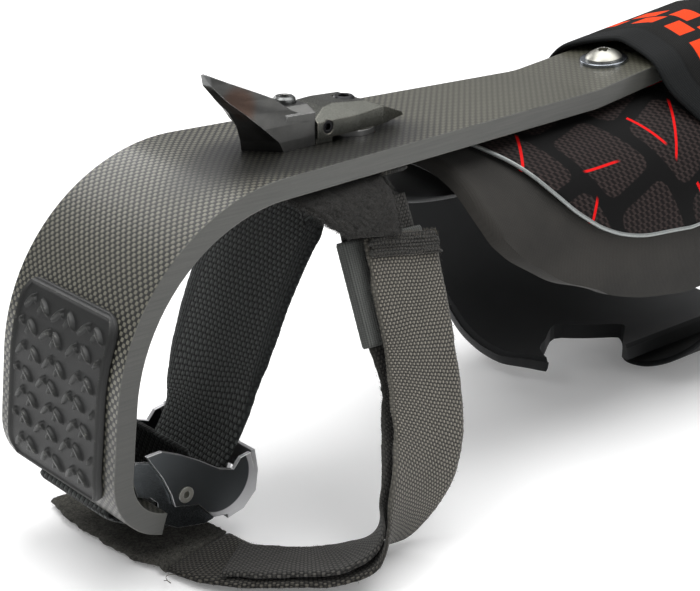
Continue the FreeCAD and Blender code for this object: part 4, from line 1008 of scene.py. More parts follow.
inner_st = [((46.9, -26.0, -20.5), KEEP_W, 19), (along(0), KEEP_W, 19), (along(20), KEEP_W, 19), (along(42), KEEP_W, 19), (along(64), KEEP_W, 19),
            ((22.0, -75.1, -113.2), (.95, .22, -.2), 18.5),
            ((12.2, -75.8, -123.9), (.9, .36, -.2), 18.0),
            ((3.0, -75.2, -129.3), (.80, .58, -.14), 17.5),
            ((-9.4, -73.0, -132.3), (.72, .69, -.1), 13.5),
            ((-22.8, -63.3, -133.1), (.66, .75, -.1), 12.5),
            ((-35.6, -45.9, -134.8), (.8, .6, -.04), 13)]
inner = Strap(inner_st, STRAP_T, step=1.1, across=24, edge_amp=0.30, seed=33, ripple=0.12)
inner.build("ankle_webbing_inner", M_DARKWEB, "grey_webbing", ["ankle_strap_inner"])

zt = -8.1 - STRAP_T - 0.12 - STRAP_T / 2
ear_st = [((27.5, -24.8, zt), (1, 0, 0), 21.5), ((26.2, -31, zt), (1, 0, 0), 22.5), ((27.5, -36.0, zt - 2.8), (1, 0, -.03), 21),
          ((30.5, -39.6, zt - 9.0), (1, 0, -.08), 17.5), ((35.5, -41.8, zt - 17.0), (1, 0, -.15), 13)]
ear = Strap(ear_st, STRAP_T + 0.5, step=0.9, across=40, edge_amp=0.7, seed=41, skew=True)
# pile: shallow lumps pushed out along the faces
ear.V = ear.V + RNG.normal(0, 0.22, ear.V.shape)
ear.build("loop_flap", M_FUZZ, "loop_fabric", ["ankle_loop_ear"])
root = Strap([((55, 12, zt), (1, 0, 0), 11), ((55, -6, zt), (1, 0, 0), 11), ((55, -26, zt), (1, 0, 0), 11)], STRAP_T, step=1.5, across=12, edge_amp=0.1, seed=42)
root.build("loop_flap_root", M_GREY, "grey_webbing", [])

tail_st = [((-37.9, -27.5, -138.7), (.97, .24, 0), 17.5), ((-41.5, -10, -138.7), (.98, .17, 0), 18), ((-43, 12, -138.7), (1, .05, 0), 17.5),
           ((-42.8, 30, -138.7), (1, 0, 0), 17), ((-42.5, 40, -138.7), (1, 0, 0), 15.5)]
tail = Strap(tail_st, 2.4, step=0.9, across=34, edge_amp=0.45, seed=55, skew=True, ripple=0.12)
tail.V[:, 2] += np.abs(RNG.normal(0, 0.16, len(tail.V)))
tail.build("hook_end", M_HOOK, "hook_fabric", ["hook_tail"])


# elastic keeper: a flat woven sleeve round the inner webbing
def keeper():
    kw = KEEP_W - KEEP_D * KEEP_W.dot(KEEP_D)
    kw = kw / np.linalg.norm(kw)
    kn = np.cross(KEEP_D, kw)
    def sec(hw, ht, r, m=9):
        pts = []
        for cx, cz, a0 in ((hw - r, ht - r, 0), (-(hw - r), ht - r, 90), (-(hw - r), -(ht - r), 180), (hw - r, -(ht - r), 270)):
            for i in range(m):
                a = rad(a0 + 90 * i / (m - 1))
                pts.append((cx + r * math.cos(a), cz + r * math.sin(a)))
        out = []
        for i, p in enumerate(pts):
            q = pts[(i + 1) % len(pts)]
            d = math.dist(p, q)
            k = max(1, int(d / 1.2))
            for j in range(k):
                out.append((p[0] + (q[0] - p[0]) * j / k, p[1] + (q[1] - p[1]) * j / k))
        return out
    so = sec(20.65, 2.75, 1.3)
    si = sec(19.8, 2.0, 0.6)
    V, UV, F = [], [], []
    n = 40
    def shell(section, s_list, flare):
        k0 = len(V)
        per = np.r_[0, np.cumsum([math.dist(a, b) for a, b in zip(section, section[1:])])]
        for s in s_list:
            d = min(s - 3.0, 43.0 - s)
            g = 1 - flare * max(0.0, 1 - d / 0.9) ** 2
            for (a, b), l in zip(section, per):
                rip = 0.10 * math.sin(s * 7.8) if flare else 0
                c = KEEP_P + KEEP_D * s + kw * a * (1 - (1 - g) * 0.02) + kn * b * g * (1 + rip * 0.12)
                V.append(c)
                UV.append((s, l))
        return k0
    sl = np.linspace(3.0, 43.0, n)
    a0 = shell(so, sl, 0.22)
    b0 = shell(si, sl, 0.0)
    no, ni = len(so), len(si)
    for i in range(n - 1):
        for j in range(no):
            k = (j + 1) % no
            F.append((a0 + i * no + j, a0 + i * no + k, a0 + (i + 1) * no + k, a0 + (i + 1) * no + j))
        for j in range(ni):
            k = (j + 1) % ni
            F.append((b0 + i * ni + j, b0 + (i + 1) * ni + j, b0 + (i + 1) * ni + k, b0 + i * ni + k))
    # end rings, joined by nearest walk
    for i, flip in ((0, False), (n - 1, True)):
        ia, ib = 0, 0
        while ia < no or ib < ni:
            if ib >= ni or (ia < no and ia / no <= ib / ni):
                t = (a0 + i * no + ia % no, a0 + i * no + (ia + 1) % no, b0 + i * ni + ib % ni)
                ia += 1
            else:
                t = (a0 + i * no + ia % no, b0 + i * ni + (ib + 1) % ni, b0 + i * ni + ib % ni)
                ib += 1
            F.append(t if not flip else t[::-1])
    return make("elastic_sleeve", V, F, m_elastic(), "elastic", ["elastic_keeper"], uv=UV, body="keeper")


keeper()

# ------------------------------------------------------------ cuff
CUFF_N, CUFF_BOT, SHELL_T, LINER_T = 2.5, -137.0, 2.2, 7.0


def cuff_pt(th, x, off):
    t = -10.4 + shank_z(x)
    a = (58.0 + (x - 80.0) * 0.025 if x < 200 else 61.0 + (x - 200) * 0.01) - off
    b, zc = (t - CUFF_BOT) / 2 - off, (t + CUFF_BOT) / 2
    c, s = math.cos(rad(th)), math.sin(rad(th))
    return np.array([x, a * math.copysign(abs(s) ** (2 / CUFF_N), s), zc + b * math.copysign(abs(c) ** (2 / CUFF_N), c)])


LINER_F = [(-100, 208), (-94.6, 172), (-90, 147), (-84, 122), (-71.5, 101), (-62, 92.7), (-47, 88.3), (-23, 87.5),
           (0, 87), (20, 90), (45, 100), (68, 117), (85, 134), (101, 148), (116, 156), (132, 160), (145, 160.5), (159, 162), (170, 164), (177, 170),
           (184, 176), (190, 184), (195, 192), (199, 200)]
LINER_R = [(-100, 222), (-94.6, 246), (-90, 262), (-84, 278), (-71.5, 291), (-62, 297), (-47, 300), (-23, 301),
           (0, 301), (20, 301), (45, 300), (68, 299), (85, 297), (101, 298), (116, 299), (132, 300), (145, 300), (159, 300), (170, 300), (177, 300),
           (184, 299), (190, 298), (195, 297), (199, 295)]
SHELL_F = [(-79.5, 200), (-77.4, 184), (-75.6, 167.5), (-72.7, 155.7), (-68, 144.7), (-59, 133), (-47.5, 124.5), (-33, 117),
           (-19, 109.5), (0, 104), (25, 108), (45, 116), (68, 131), (85, 147), (101, 160), (116, 169), (130, 176)]
SHELL_R = [(-79.5, 226), (-77.4, 240), (-75.6, 252), (-72.7, 263), (-68, 272), (-59, 281), (-47.5, 287), (-33, 291),
           (-19, 293), (0, 294), (25, 293), (45, 292), (68, 289), (85, 286), (101, 281), (116, 275), (130, 268)]


def smooth_tab(tab, n):
    """n rows (angle, x) spread over the table, smoothly interpolated."""
    r, _ = catmull([(a * 1.05, x, 0.0) for a, x in tab], n)
    return [(p[0] / 1.05, p[1]) for p in r]


def flap(front, rear, off_a, off_b, rows, cols, inset=0.0, cut=None, edge_r=None):
    """Closed curved panel with rounded edges, as verts, faces, uv, material
    index (0 outside, 1 inside) and its rim path on the outer face."""
    # rows: spread along the longer of the two outlines
    ks = []
    idx = np.linspace(0, len(front) - 1, rows)
    th = np.interp(idx, range(len(front)), [k for k, _ in front])
    xf = np.interp(idx, range(len(front)), [x for _, x in front])
    xr = np.interp(idx, range(len(rear)), [x for _, x in rear])
    # soften the corners left by the tables
    for _ in range(3):
        for a in (th, xf, xr):
            a[1:-1] = a[1:-1] * 0.5 + (a[:-2] + a[2:]) * 0.25
    er = (off_b - off_a) / 2
    ts = np.linspace(0, 1, cols)
    ts = 0.5 - 0.5 * np.cos(np.pi * ts) if False else ts
    grid = [[(th[i], xf[i] + (xr[i] - xf[i]) * t) for t in ts] for i in range(rows)]
    V, UV, F, MI = [], [], [], []
    out_idx, in_idx = {}, {}
    arc_v = np.zeros(rows)
    for i in range(1, rows):
        arc_v[i] = arc_v[i - 1] + np.linalg.norm(cuff_pt(th[i], 200, off_a) - cuff_pt(th[i - 1], 200, off_a))
    for i in range(rows):
        for j in range(cols):
            k, x = grid[i][j]
            on_edge = i in (0, rows - 1) or j in (0, cols - 1)
            z = cut(k, x) if cut else None
            rim = er * 0.55 if on_edge else 0.0
            out_idx[i, j] = len(V)
            V.append(cuff_pt(k, x, off_a + rim))
            UV.append((x, arc_v[i]))
    for i in range(rows):
        for j in range(cols):
            k, x = grid[i][j]
            on_edge = i in (0, rows - 1) or j in (0, cols - 1)
            rim = er * 0.55 if on_edge else 0.0
            in_idx[i, j] = len(V)
            V.append(cuff_pt(k, x, off_b - rim))
            UV.append((x, arc_v[i]))
    for i in range(rows - 1):
        for j in range(cols - 1):
            F.append((out_idx[i, j], out_idx[i, j + 1], out_idx[i + 1, j + 1], out_idx[i + 1, j]))
            MI.append(0)
            F.append((in_idx[i, j], in_idx[i + 1, j], in_idx[i + 1, j + 1], in_idx[i, j + 1]))
            MI.append(1)
    loop = [(0, j) for j in range(cols)] + [(i, cols - 1) for i in range(1, rows)] + [(rows - 1, j) for j in range(cols - 2, -1, -1)] + [(i, 0) for i in range(rows - 2, 0, -1)]
    # rounded rim: one extra ring standing a little proud of the outline
    P0 = [V[out_idx[q]] for q in loop]
    P1 = [V[in_idx[q]] for q in loop]
    mids = []
    m = len(loop)
    for a in range(m):
        i, j = loop[a]
        ii, jj = min(max(i, 1), rows - 2), min(max(j, 1), cols - 2)
        inward = V[out_idx[ii, jj]] - V[out_idx[i, j]]
        inward /= np.linalg.norm(inward) + 1e-9
        mids.append((P0[a] + P1[a]) / 2 - inward * er * 0.55)
    k0 = len(V)
    for a in range(m):
        V.append(mids[a])
        UV.append(UV[out_idx[loop[a]]])
    for a in range(m):
        b = (a + 1) % m
        F.append((out_idx[loop[b]], out_idx[loop[a]], k0 + a, k0 + b))
        MI.append(0)
        F.append((k0 + b, k0 + a, in_idx[loop[a]], in_idx[loop[b]]))
        MI.append(1)
    rim_path = [V[out_idx[q]] for q in loop]
    return np.array(V), F, np.array(UV), MI, rim_path, loop, grid


M_NEO = m_neoprene()
M_LINING = m_lining()
M_PRINT = m_print()
M_PIPE = m_piping()
sv, sf_, suv, smi, srim, sloop, sgrid = flap(SHELL_F, SHELL_R, 0.0, SHELL_T, 90, 90)
shell = make("cuff_shell_print", sv, sf_, [M_PRINT, M_LINING], "cuff_print", ["cuff_shell"], uv=suv, matidx=smi)

lv, lf, luv, lmi, lrim, lloop, lgrid = flap(LINER_F, LINER_R, SHELL_T + 0.5, SHELL_T + 0.5 + LINER_T, 150, 110)
# a notch low on the far flap
keep_faces, keep_mi = [], []
cut_at = [(160, -60), (176, -3), (178.5, 1.5), (181, 5), (185, 8), (190, 10), (197, 14.5), (201, 16.8), (205, 17.8), (209, 16.6), (213, 14), (224, 7), (230, 3.4), (233, 0.5), (232.6, -2),
          (231, -4), (222, -10), (213, -17), (209, -24), (207, -60)]


def in_poly(x, y, poly):
    c = False
    for (x0, y0), (x1, y1) in zip(poly, poly[1:] + poly[:1]):
        if (y0 > y) != (y1 > y) and x < (x1 - x0) * (y - y0) / (y1 - y0) + x0:
            c = not c
    return c


liner = make("cuff_pad", lv, lf, [M_NEO, M_LINING], "neoprene", ["cuff_liner"], uv=luv, matidx=lmi)
tool_v, tool_f = [], []
zc0, zc1 = -150.0, -122.0
n_ = len(cut_at)
for z in (zc0, zc1):
    tool_v += [(x, y, z) for x, y in cut_at]
tool_f = [tuple(range(n_))[::-1], tuple(range(n_, 2 * n_))] + [(i, (i + 1) % n_, n_ + (i + 1) % n_, n_ + i) for i in range(n_)]
tm = bpy.data.meshes.new("notch_tool")
tm.from_pydata([tuple(W(v)) for v in tool_v], [], tool_f)
bmt = bmesh.new()
bmt.from_mesh(tm)
bmesh.ops.recalc_face_normals(bmt, faces=bmt.faces)
bmt.to_mesh(tm)
bmt.free()
to = bpy.data.objects.new("notch_tool", tm)
bpy.context.scene.collection.objects.link(to)
md = liner.modifiers.new("notch", "BOOLEAN")
md.operation = "DIFFERENCE"
md.solver = "EXACT"
md.object = to
dg = bpy.context.evaluated_depsgraph_get()
new = bpy.data.meshes.new_from_object(liner.evaluated_get(dg))
liner.modifiers.clear()
liner.data = new
bpy.data.objects.remove(to, do_unlink=True)
for p in liner.data.polygons:
    p.use_smooth = True
liner.data.set_sharp_from_angle(angle=rad(48))
for p in liner.data.polygons:
    if p.center.z < float(W((0, 0, -115.0))[2]):
        p.material_index = 1

# silver piping round the shell
rim = np.array([p for p in srim])
cen = []
for (i, j) in sloop:
    k, x = sgrid[i][j]
    nrm = cuff_pt(k, x, -1.0) - cuff_pt(k, x, 0.0)
    cen.append(nrm / np.linalg.norm(nrm))
cen = np.array(cen)
pth = rim + cen * 0.35
# even spacing and smoothing of the closed rim
d = np.r_[0, np.cumsum(np.linalg.norm(np.diff(np.vstack([pth, pth[:1]]), axis=0), axis=1))]
u = np.linspace(0, d[-1], 700, endpoint=False)
q = np.vstack([pth, pth[:1]])
pth = np.column_stack([np.interp(u, d, q[:, c]) for c in range(3)])
for _ in range(4):
    pth = pth * 0.5 + (np.roll(pth, 1, 0) + np.roll(pth, -1, 0)) * 0.25
pv, pf = pipe(pth, 0.85, seg=10, closed=True)
make("shell_piping", pv, pf, M_PIPE, "cuff_print")

# ------------------------------------------------------------ shin pad
def shin():
    """Sculpted oval pad hanging under the shank inside the cuff."""
    nx_, ny_ = 60, 40
    V, F, UV = [], [], []
    idx = {}
    def outline(t):
        x0, x1 = 68.6, 173.0
        x = x0 + (x1 - x0) * t
        k = abs(2 * t - 1)
        return x, 25.5 * (1 - k ** 3.2) ** (1 / 2.4) + 0.6
    for face in (0, 1):
        for i in range(nx_ + 1):
            x, hw = outline(i / nx_)
            kx = abs(2 * i / nx_ - 1)
            for j in range(ny_ + 1):
                s = 2 * j / ny_ - 1
                y = hw * s
                e = max(0.0, 1 - kx ** 3) ** 0.5 * max(0.0, 1 - abs(s) ** 3) ** 0.5
                top = -22.8 - 4.4 * (y / 26) ** 2 - (1 - e) * 3.0
                low = -35.2 + 2.6 * (y / 26) ** 2 + (1 - e) * 6.4
                if face:
                    # pressed channels and the raised oval in the middle
                    oval = ((x - 126) / 30) ** 2 + (y / 15) ** 2
                    low += 1.3 * math.exp(-((math.sqrt(oval) - 1.0) / 0.13) ** 2)
                z = low if face else top
                if i in (0, nx_) or j in (0, ny_):
                    z = (top + low) / 2
                    if face:
                        idx[1, i, j] = idx[0, i, j]
                        continue
                idx[face, i, j] = len(V)
                V.append((x, y, z))
                UV.append((x, y))
    for i in range(nx_):
        for j in range(ny_):
            F.append((idx[0, i, j], idx[0, i + 1, j], idx[0, i + 1, j + 1], idx[0, i, j + 1]))
            F.append((idx[1, i, j], idx[1, i, j + 1], idx[1, i + 1, j + 1], idx[1, i + 1, j]))
    o = make("shin_cushion", V, F, M_LINING, "pad_rubber", ["shin_pad"], uv=UV)


shin()


# ------------------------------------------------------------ calf strap
def ring_section(x, off, n=150):
    """Closed section of the strap at x: points from the far shoulder, round
    the bottom, to the near shoulder and over the shank."""
    pts = []
    for i in range(41):
        th = 40 + 280 * i / 40
        p = cuff_pt(th if th <= 180 else th - 360, x, -off)
        pts.append((p[1], p[2]))
    sz = shank_z(x)
    r = off
    pts += [(-27.0 - r * .8, sz - 1.5 + r * .55), (-22.5 - r * .45, sz + 1.5 + r * .9), (-11.0 - r * .2, sz + 4.0 + r), (0.0, sz + 6.3 + r),
            (11.0 + r * .2, sz + 4.0 + r), (22.5 + r * .45, sz + 1.5 + r * .9), (27.0 + r * .8, sz - 1.5 + r * .55)]
    p = np.array(pts + [pts[0]])
    d = np.r_[0, np.cumsum(np.linalg.norm(np.diff(p, axis=0), axis=1))]
    u = np.linspace(0, d[-1], n, endpoint=False)
    q = np.column_stack([np.interp(u, d, p[:, c]) for c in (0, 1)])
    for _ in range(3):
        q = q * 0.5 + (np.roll(q, 1, 0) + np.roll(q, -1, 0)) * 0.25
    return q


def front_x(y, z):
    """Front edge of the strap where its section passes (y, z)."""
    top = [(-29, 210), (-18, 213), (-2, 215.5), (14, 212.5), (24, 206), (30, 205)]
    near = [(0, 210), (-17, 223), (-45, 236), (-75, 240), (-110, 228), (-140, 214)]
    far = [(0, 206), (-40, 222), (-80, 236), (-120, 243), (-140, 245)]
    low = [(-31, 215), (-10, 220), (4, 240), (30, 246)]
    def it(tab, v):
        tab = sorted(tab)
        return float(np.interp(v, [a for a, _ in tab], [b for _, b in tab]))
    if z > -6 and abs(y) < 31:
        return it(top, y)
    if y < -26:
        return it(near, z)
    if y > 26:
        return it(far, z)
    return it(low, y)


def calf():
    n, m = 220, 40
    base = ring_section(245.0, 1.5, n)
    fx = np.array([front_x(a, b) for a, b in base])
    for _ in range(10):
        fx = fx * 0.5 + (np.roll(fx, 1) + np.roll(fx, -1)) * 0.25
    per = np.r_[0, np.cumsum(np.linalg.norm(np.diff(base, axis=0), axis=1))]
    top_i = int(np.argmin(np.abs(base[:, 0]) + (base[:, 1] < 0) * 999))
    uu = per - per[top_i]
    V, UV, F = [], [], []
    xr = 286.0
    for k, off in enumerate((0.3 + 2.4, 0.3)):
        secs = {}
        for j in range(m):
            t = j / (m - 1)
            for i in range(n):
                x = fx[i] + 0.2 + (xr - 0.2 - fx[i]) * t
                V.append((x, i, 0))
                UV.append((uu[i], x - fx[i]))
    V = np.array(V, float)
    xs_ = np.linspace(190, 290, 51)
    tabs = [np.array([ring_section(x, off, n) for x in xs_]) for off in (2.7, 0.3)]
    out = np.zeros((len(V), 3))
    for a, (x, i, _) in enumerate(V):
        k = 0 if a < n * m else 1
        i = int(i)
        j = (a // n) % m
        f = (x - 190) / 2.0
        b = min(int(f), 49)
        f -= b
        p0 = tabs[0][b, i] * (1 - f) + tabs[0][b + 1, i] * f
        p1 = tabs[1][b, i] * (1 - f) + tabs[1][b + 1, i] * f
        d_edge = min(UV[a][1], xr - x)
        c = 0.62 if d_edge < 0.3 else 0.0
        p = (p0 * (1 - c * 0.5) + p1 * c * 0.5) if k == 0 else (p1 * (1 - c * 0.5) + p0 * c * 0.5)
        if k == 0:
            w_ = UV[a][1]
            p = p - (p0 - p1) * 0.16 * math.exp(-((w_ - 16.0) / 0.9) ** 2)
        out[a] = (x, p[0], p[1])
    for j in range(m - 1):
        for i in range(n):
            k = (i + 1) % n
            F.append((j * n + i, j * n + k, (j + 1) * n + k, (j + 1) * n + i))
            b = n * m
            F.append((b + j * n + i, b + (j + 1) * n + i, b + (j + 1) * n + k, b + j * n + k))
    for i in range(n):
        k = (i + 1) % n
        b = n * m
        F.append((i, b + i, b + k, k))
        e = (m - 1) * n
        F.append((e + i, e + k, b + e + k, b + e + i))
    # the seam in u lies under the strap, where it is not seen
    o = make("calf_strap_band", out, F, m_calf(), "calf_webbing", ["calf_strap"], uv=UV)
    return o, base, fx


calf_ob, calf_base, calf_fx = calf()


def tab():
    V, UV, F = [], [], []
    n, m = 60, 26
    for k, off in enumerate((0.3 + 2.4 + 0.25 + 2.3, 0.3 + 2.4 + 0.25)):
        for i in range(n):
            th = 58 + 54 * i / (n - 1)
            for j in range(m):
                x = 247 + 37 * j / (m - 1)
                e = min(i, n - 1 - i, j, m - 1 - j)
                o = off + ((-0.7 if k == 0 else 0.5) if e == 0 else 0)
                V.append(cuff_pt(th, x, -o))
                UV.append((i * 1.1, 20 + j * 1.3))
    for i in range(n - 1):
        for j in range(m - 1):
            a = i * m + j
            F.append((a, a + m, a + m + 1, a + 1))
            b = n * m + a
            F.append((b, b + 1, b + m + 1, b + m))
    ring = [(0, j) for j in range(m)] + [(i, m - 1) for i in range(1, n)] + [(n - 1, j) for j in range(m - 2, -1, -1)] + [(i, 0) for i in range(n - 2, 0, -1)]
    for a in range(len(ring)):
        p, q = ring[a], ring[(a + 1) % len(ring)]
        F.append((p[0] * m + p[1], q[0] * m + q[1], n * m + q[0] * m + q[1], n * m + p[0] * m + p[1]))
    make("calf_strap_end", V, F, M_TAB, "calf_webbing", ["calf_strap_tab"], uv=UV)


M_TAB = m_webbing("tab_weave", lin(16, 17, 16), lin(44, 46, 43), 1.2, 0.9, bump=0.3, contrast=0.7)
tab()

# ------------------------------------------------------------ thread, fuzz
M_THREAD = m_thread("sewing_thread", lin(34, 34, 33), lin(78, 78, 74))
M_THREAD_L = m_thread("sewing_thread_light", lin(96, 92, 84), lin(150, 145, 134))


def sew(strap, u0, u1, x0, x1, pitch=3.0, length=2.2, side=1, r=0.27, lift=0.02):
    """Stitches along a straight line on a strap's face, u along, x across."""
    a = np.array([u0, x0], float)
    b = np.array([u1, x1], float)
    L = np.linalg.norm(b - a)
    out = []
    n = max(1, int(L / pitch))
    for i in range(n):
        p = a + (b - a) * (i * pitch) / L
        q = a + (b - a) * min(1.0, (i * pitch + length) / L)
        P, t, w, nn = strap.at(p[0], p[1], lift, side)
        Q, _, _, _ = strap.at(q[0], q[1], lift, side)
        out.append((P, Q, nn))
    return out


def tufts(strap, u0, u1, count, r, length, seed, side=0, spread=0.9, face=None):
    """Fine fibres standing off a strap's edges (side -1 or 1 across) or its
    face."""
    g = np.random.default_rng(seed)
    out = []
    for _ in range(count):
        u = g.uniform(u0, u1)
        if face is None:
            sd = side if side else (1 if g.random() < .5 else -1)
            k = int(np.clip(np.searchsorted(strap.u, u), 0, strap.n_path - 1))
            hl = strap.h[k] + (strap.el[k] if sd < 0 else strap.er[k])
            P, t, w, n = strap.at(u, sd * (hl - 0.1), 0.0, 1)
            P = P - n * g.uniform(0.1, strap.thick * 0.95)
            d = w * sd * g.uniform(.5, 1.0) + n * g.normal(0, spread) + t * g.normal(0, spread)
        else:
            k = int(np.clip(np.searchsorted(strap.u, u), 0, strap.n_path - 1))
            P, t, w, n = strap.at(u, g.uniform(-.97, .97) * strap.h[k], 0.0, face)
            d = n * g.uniform(.4, 1.0) + w * g.normal(0, spread) + t * g.normal(0, spread)
        d /= np.linalg.norm(d) + 1e-9
        out.append((P - d * 0.15, P + d * length * g.uniform(0.45, 1.25), r * g.uniform(.7, 1.2)))
    return out


# the ankle strap's upper end: folded back on itself, sewn down and frayed
Lo = outer.u[-1]
fold_st = []
for u_, h_ in ((-0.2, 17.6), (1.6, 18.6), (3.4, 18.4), (5.6, 18.8), (7.4, 18.2)):
    P_, t_, w_, n_ = outer.at(max(u_, 0.0), 0.0, 0.75, 1)
    if u_ < 0:
        P_ = P_ - t_ * 0.5 - n_ * 0.5
    fold_st.append((tuple(P_ + w_ * 0.25 * math.sin(u_)), tuple(w_), h_))
foldp = Strap(fold_st, 1.35, step=0.45, across=44, edge_amp=0.45, seed=77, skew=True, ripple=0.25)
lump = smooth_noise(len(foldp.V), 9, 0.30, 78)
foldp.V = foldp.V + np.repeat(foldp.n, foldp.ns, axis=0) * (lump[:, None] + np.abs(RNG.normal(0, 0.12, (len(foldp.V), 1))))
foldp.build("strap_end_fold", M_DARKWEB, "grey_webbing", [])
st = []
for u_ in (2.2, 4.6, 6.6):
    st += sew(foldp, min(u_, foldp.u[-1] - .4), min(u_, foldp.u[-1] - .4), -17.0, 17.0, pitch=1.5, length=1.15, side=1, lift=0.25)
for u_ in (2.2, 6.8):
    st += sew(outer, u_, u_, -16.5, 16.5, pitch=2.6, length=2.0, side=-1)
for x in (-13.5, 13.5):
    st += sew(tail, 6, tail.u[-1] - 4, x, x, pitch=3.0, length=2.3, side=1)
V_, F_ = stitch_mesh(st, r=0.24)
make("stitches", V_, F_, M_THREAD, "grey_webbing")
# fray on the folded end: along its top, and pulled threads over the fold
fr = []
gq = np.random.default_rng(301)
for _ in range(620):
    x_ = gq.uniform(-18.2, 18.2)
    P_, t_, w_, n_ = foldp.at(gq.uniform(0, 1.2), x_, gq.uniform(-0.8, 0.1), 1)
    d_ = -t_ * gq.uniform(.5, 1.0) + w_ * gq.normal(0, .35) + n_ * gq.normal(0.25, .3)
    d_ /= np.linalg.norm(d_)
    fr.append((P_, P_ + d_ * gq.uniform(0.7, 2.4), 0.09))
for _ in range(420):
    x_ = gq.uniform(-18.2, 18.2)
    P_, t_, w_, n_ = foldp.at(gq.uniform(0.8, foldp.u[-1]), x_, 0.1, 1)
    d_ = t_ * gq.normal(0, 1.0) + w_ * gq.normal(0, 1.0) + n_ * gq.uniform(.3, .9)
    d_ /= np.linalg.norm(d_)
    fr.append((P_, P_ + d_ * gq.uniform(0.5, 1.6), 0.08))
make("fold_fray", *spikes(fr), M_HAIR, "grey_webbing")

fz = []
fz += tufts(outer, 0, Lo, 900, 0.05, 1.1, 101)
fz += tufts(inner, 0, inner.u[-1], 700, 0.05, 1.0, 102)
fz += tufts(tail, 0, tail.u[-1], 260, 0.05, 1.2, 104)
make("webbing_fibres", *spikes(fz), M_DARKHAIR, "grey_webbing")
fz = tufts(ear, 0, ear.u[-1], 1500, 0.06, 2.2, 103)
fz += tufts(ear, 0, ear.u[-1], 2200, 0.055, 1.0, 105, face=1)
fz += tufts(ear, 0, ear.u[-1], 2200, 0.055, 1.0, 106, face=-1)
make("loop_fibres", *spikes(fz), M_DARKHAIR, "loop_fabric")
hk = tufts(tail, 0, tail.u[-1], 2600, 0.07, 0.5, 107, face=-1, spread=0.4)
hk += tufts(tail, 0, tail.u[-1], 1600, 0.07, 0.45, 108, face=1, spread=0.4)
make("hook_fibres", *spikes(hk), M_THREAD_L, "hook_fabric")
dk = tufts(foot, 0, foot.u[-1], 500, 0.045, 0.8, 109)
make("instep_fibres", *spikes(dk), M_DARKHAIR, "instep_webbing")

# a loose thread hanging at the end of the ankle webbing
P0, t0, w0, n0 = outer.at(Lo - 6, -16.2, -0.6, 1)
path = [P0 + np.array([0, 0, 0])]
for i in range(1, 26):
    k = i / 25
    path.append(P0 + np.array([-9.0 * k - 2.0 * math.sin(5.2 * k), -4.0 * k + 1.6 * math.sin(8.0 * k), 0.35 * math.sin(7 * k) + 1.0 * k]))
make("loose_thread", *pipe(path, 0.14, seg=6), M_HAIR, "grey_webbing")

# running length along the shell's piping path; no stitch rows are built from it
rows_ = []
pc = pth
dd = np.r_[0, np.cumsum(np.linalg.norm(np.diff(pc, axis=0), axis=1))]

# ------------------------------------------------------------ stage
lo_now, hi_now = cad_lo, cad_hi
floor_z = float(min(0.0, cad_lo[2])) - 0.0002


def disc(name, r, z, n=96):
    me = bpy.data.meshes.new(name)
    me.from_pydata([(r * math.cos(2 * math.pi * i / n), r * math.sin(2 * math.pi * i / n), z) for i in range(n)], [], [tuple(range(n))])
    me.update()
    ob = bpy.data.objects.new(name, me)
    bpy.context.scene.collection.objects.link(ob)
    return ob


g = G("floor_paper")
M_FLOOR = g.set(color=lin(250, 250, 250), rough=0.9, spec=0.1, emit=(1.0, 1.0, 1.0, 1.0), emit_s=0.14)
floor = disc("floor", 14.0, floor_z)
floor.data.materials.append(M_FLOOR)


def area(name, loc, target, size, power, color=(1, 1, 1), size_y=None):
    l = bpy.data.lights.new(name, "AREA")
    l.energy = power
    l.color = color
    l.shape = "RECTANGLE"
    l.size = size
    l.size_y = size_y or size
    o = bpy.data.objects.new(name, l)
    o.location = loc
    d = Vector(target) - Vector(loc)
    o.rotation_euler = d.to_track_quat("-Z", "Y").to_euler()
    bpy.context.scene.collection.objects.link(o)
    return o


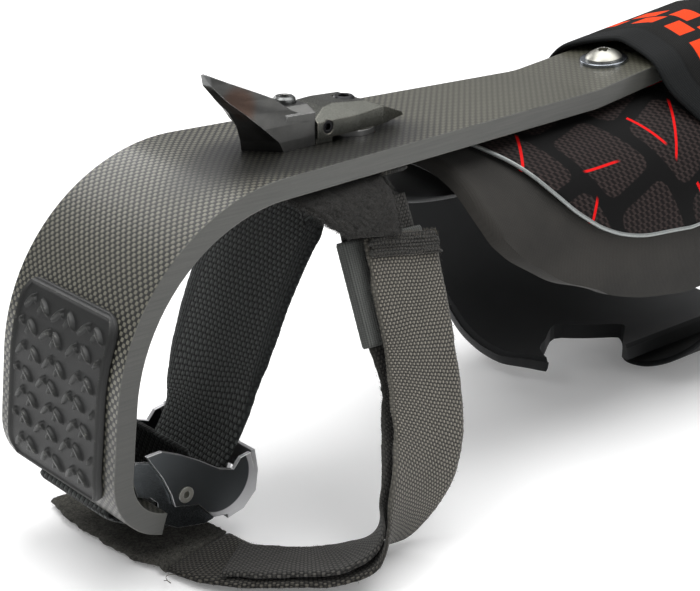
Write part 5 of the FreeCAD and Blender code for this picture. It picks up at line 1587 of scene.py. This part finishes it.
# camera axes, in the frame of work
a_, e_, roll_ = rad(-41.36), rad(21.02), rad(0.57)
back = np.array([math.sin(a_) * math.cos(e_), -math.cos(a_) * math.cos(e_), math.sin(e_)])
right = np.array([math.cos(a_), math.sin(a_), 0.0])
up = np.cross(back, right)
R_ = right * math.cos(roll_) + up * math.sin(roll_)
U_ = -right * math.sin(roll_) + up * math.cos(roll_)
cam_d = bpy.data.cameras.new("camera")
cam_d.sensor_width = 36.0
cam_d.lens = 36.0 * 1700.0 / 700.0
cam_d.clip_start, cam_d.clip_end = 0.01, 60.0
cam = bpy.data.objects.new("camera", cam_d)
bpy.context.scene.collection.objects.link(cam)
from mathutils import Matrix
loc = W((-359.6, -476.97, 174.05))
cam.matrix_world = Matrix(((R_[0], U_[0], back[0], loc[0]), (R_[1], U_[1], back[1], loc[1]), (R_[2], U_[2], back[2], loc[2]), (0, 0, 0, 1)))
bpy.context.scene.camera = cam

mid = W((100.0, -10.0, -60.0))
rgt, bck = right, np.array([back[0], back[1], 0.0])
bck /= np.linalg.norm(bck)
upv = np.array([0, 0, 1.0])


def place(r, b, u):
    return tuple(mid + rgt * r + bck * b + upv * u)


area("key", place(-0.8, 0.35, 1.3), tuple(mid), 0.8, 7.5)
area("top", place(0.15, -0.25, 1.5), tuple(mid), 2.0, 26.0, size_y=1.5)
area("fill", place(1.4, 0.8, 0.7), tuple(mid), 0.7, 2.6)
area("back", place(-0.9, -1.2, 0.7), tuple(mid), 0.7, 4.5, size_y=0.5)

wd = bpy.data.worlds.new("studio")
bpy.context.scene.world = wd
wd.use_nodes = True
nt = wd.node_tree
nt.nodes.clear()
out = nt.nodes.new("ShaderNodeOutputWorld")
bg = nt.nodes.new("ShaderNodeBackground")
tc = nt.nodes.new("ShaderNodeTexCoord")
sp = nt.nodes.new("ShaderNodeSeparateXYZ")
rp = nt.nodes.new("ShaderNodeValToRGB")
mr = nt.nodes.new("ShaderNodeMapRange")
nt.links.new(tc.outputs["Generated"], sp.inputs[0])
nt.links.new(sp.outputs["Z"], mr.inputs[0])
mr.inputs[1].default_value, mr.inputs[2].default_value = -1.0, 1.0
nt.links.new(mr.outputs[0], rp.inputs[0])
el = rp.color_ramp.elements
el[0].position, el[0].color = 0.45, (0.34, 0.34, 0.34, 1)
el[1].position, el[1].color = 0.95, (0.95, 0.95, 0.95, 1)
e2 = rp.color_ramp.elements.new(0.62)
e2.color = (0.40, 0.40, 0.41, 1)
nt.links.new(rp.outputs[0], bg.inputs[0])
bg.inputs[1].default_value = 0.62
nt.links.new(bg.outputs[0], out.inputs[0])

vs_ = bpy.context.scene.view_settings
vs_.view_transform = "Standard"
vs_.look = "None"
vs_.exposure = 0.0
vs_.gamma = 1.0
